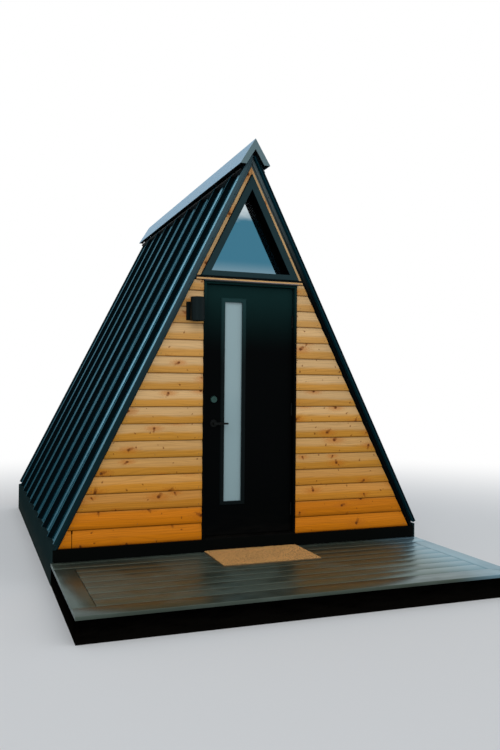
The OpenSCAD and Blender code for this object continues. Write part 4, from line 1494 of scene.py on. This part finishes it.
class CABIN_OT_door_fittings(bpy.types.Operator):
    """Makes the screws, plates and plugs of the door, its lock and its hinges"""

    bl_idname = "cabin.door_fittings"
    bl_label = "Door fittings"
    bl_options = {"REGISTER", "UNDO"}

    def execute(self, context):
        dark = bpy.data.materials["hardware_dark"]
        self.hinge_screws(dark)
        self.lock_plates(dark)
        self.glass_plugs()
        return {"FINISHED"}

    def hinge_screws(self, metal):
        """Four screws in each hinge leaf, in two rows: on the door's edge and in the jamb."""
        leaf_half, leaf_thick, door_gap = 0.051, 0.0021, 0.005
        low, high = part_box("hinge_door_side")
        door_x = SLAB_HIGH.x
        frame_x = door_x + door_gap
        near, far = SLAB_LOW.y + 0.014, SLAB_LOW.y + 0.03
        centres = (low.z + leaf_half, (SLAB_LOW.z + SLAB_HIGH.z) / 2, high.z - leaf_half)
        on_door, on_frame = [], []
        for centre in centres:
            for rise, y in ((-0.036, near), (-0.012, far), (0.012, near), (0.036, far)):
                z = centre + rise
                on_door.append((Vector((door_x + leaf_thick, y, z)), Vector((1, 0, 0))))
                on_frame.append((Vector((frame_x - leaf_thick, y, z)), Vector((-1, 0, 0))))
        for name, places, body in (
            ("hinge_screws_door", on_door, "door"), ("hinge_screws_frame", on_frame, "cabin"),
        ):
            fasten(name, places, metal, body, "hardware_black",
                   sizes().hinge_screw, height=0.0005, sides=10)

    def lock_plates(self, metal):
        """Faceplates on the door's closing edge, and strikes in the jamb."""
        edge = SLAB_LOW.x
        middle = (SLAB_LOW.y + SLAB_HIGH.y) / 2
        # Half width, half height and the two faces of each kind of plate
        for name, body, wide, tall, back, face in (
            ("latch_plates", "door", 0.0125, 0.029, -0.0012, 0.0005),
            ("strike_plates", "cabin", 0.014, 0.035, -0.0055, -0.0038),
        ):
            form = bmesh.new()
            for node in ("lock_roses", "deadbolt"):
                z = sum(corner.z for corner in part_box(node)) / 2
                block(form, (edge + back, middle - wide, z - tall),
                      (edge + face, middle + wide, z + tall), ease=0.0005)
            seat(made_of(name, form, metal), body, "hardware_black")

    def glass_plugs(self):
        """Screw plugs round the inside of the glass frame."""
        low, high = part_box("door_lite_frame")
        border = (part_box("door_glass")[0].x - low.x) / 2 + 0.003
        end, rows = 0.06, 6
        inward = Vector((0, 1, 0))
        places = []
        for x in (low.x + border, high.x - border):
            for k in range(rows + 1):
                z = low.z + end + k * (high.z - low.z - 2 * end) / rows
                places.append((Vector((x, high.y, z)), inward))
        for z in (low.z + border, high.z - border):
            places.append((Vector(((low.x + high.x) / 2, high.y, z)), inward))
        fasten("glass_frame_plugs", places, bpy.data.materials["door_paint"],
               "door", "door_black", diameter=0.009, height=0.0008, sides=10)


class CABIN_OT_light_fittings(bpy.types.Operator):
    """Makes the lenses of the wall light and the screws of its plate"""

    bl_idname = "cabin.light_fittings"
    bl_label = "Light fittings"
    bl_options = {"REGISTER", "UNDO"}

    def execute(self, context):
        well, rim = 0.03, 0.02
        low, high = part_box("light_body")
        x, radius = (low.x + high.x) / 2, (high.x - low.x) / 2
        y = low.y + radius
        form = bmesh.new()
        for z, way in ((low.z + well, -1), (high.z - well, 1)):
            self.lens(form, Vector((x, y, z)), radius - rim, way)
        seat(made_of("light_lenses", form, opal_lens()), "cabin", "light_black")
        # The plate's face and its screws' distance from the edge
        face, inset = -0.012, 0.014
        low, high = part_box("light_plate")
        x, z = (low.x + high.x) / 2, (low.z + high.z) / 2
        reach = (high.x - low.x) / 2 - inset
        places = [
            (Vector((x + i * reach, face, z + j * reach)), Vector((0, -1, 0)))
            for i in (-1, 1) for j in (-1, 1)]
        fasten("light_plate_screws", places, bpy.data.materials["powder_black"],
               "cabin", "light_black", diameter=0.007, height=0.002, sides=10)
        return {"FINISHED"}

    @staticmethod
    def lens(form, centre, radius, way):
        """A shallow domed disc."""
        rows, sides, dome = 4, 32, 0.006
        turns = [2 * math.pi * k / sides for k in range(sides)]
        rings = []
        for row in range(rows):
            angle = math.pi / 2 * row / rows
            reach, lift = radius * math.cos(angle), way * dome * math.sin(angle)
            rings.append([
                form.verts.new(centre + Vector((
                    reach * math.cos(turn), reach * math.sin(turn), lift)))
                for turn in turns])
        skin(form, rings)


class CABIN_PT_pieces(bpy.types.Panel):
    """Lists the cabin's pieces, sizes and colours"""

    bl_label = "A-frame cabin"
    bl_space_type = "VIEW_3D"
    bl_region_type = "UI"
    bl_category = "Cabin"

    def draw(self, context):
        layout = self.layout
        for operator in OPERATORS:
            layout.operator(operator.bl_idname)
        for group in (context.scene.cabin_sizes, context.scene.cabin_colours):
            box = layout.box()
            for name in group.bl_rna.properties.keys():
                if name not in ("rna_type", "name"):
                    box.prop(group, name)


OPERATORS = (
    CABIN_OT_stage,
    CABIN_OT_finishes,
    CABIN_OT_front_boards,
    CABIN_OT_gable_strips,
    CABIN_OT_rear_boards,
    CABIN_OT_deck,
    CABIN_OT_doormat,
    CABIN_OT_roof_fixings,
    CABIN_OT_door_fittings,
    CABIN_OT_light_fittings,
)
CLASSES = (CabinSizes, CabinColours, *OPERATORS, CABIN_PT_pieces)


def register():
    for item in CLASSES:
        bpy.utils.register_class(item)
    bpy.types.Scene.cabin_sizes = bpy.props.PointerProperty(type=CabinSizes)
    bpy.types.Scene.cabin_colours = bpy.props.PointerProperty(type=CabinColours)


def unregister():
    del bpy.types.Scene.cabin_sizes
    del bpy.types.Scene.cabin_colours
    for item in reversed(CLASSES):
        bpy.utils.unregister_class(item)


def write_sizes():
    """Lists the corners of the construction's box and of the dressed model's box."""
    for name, box in (("cad", CAD_BOX), ("visual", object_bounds())):
        [list(corner) for corner in box]


def main():
    register()
    for operator in OPERATORS:
        group, name = operator.bl_idname.split(".")
        getattr(getattr(bpy.ops, group), name)()
    write_sizes()


if __name__ == "__main__":
    main()
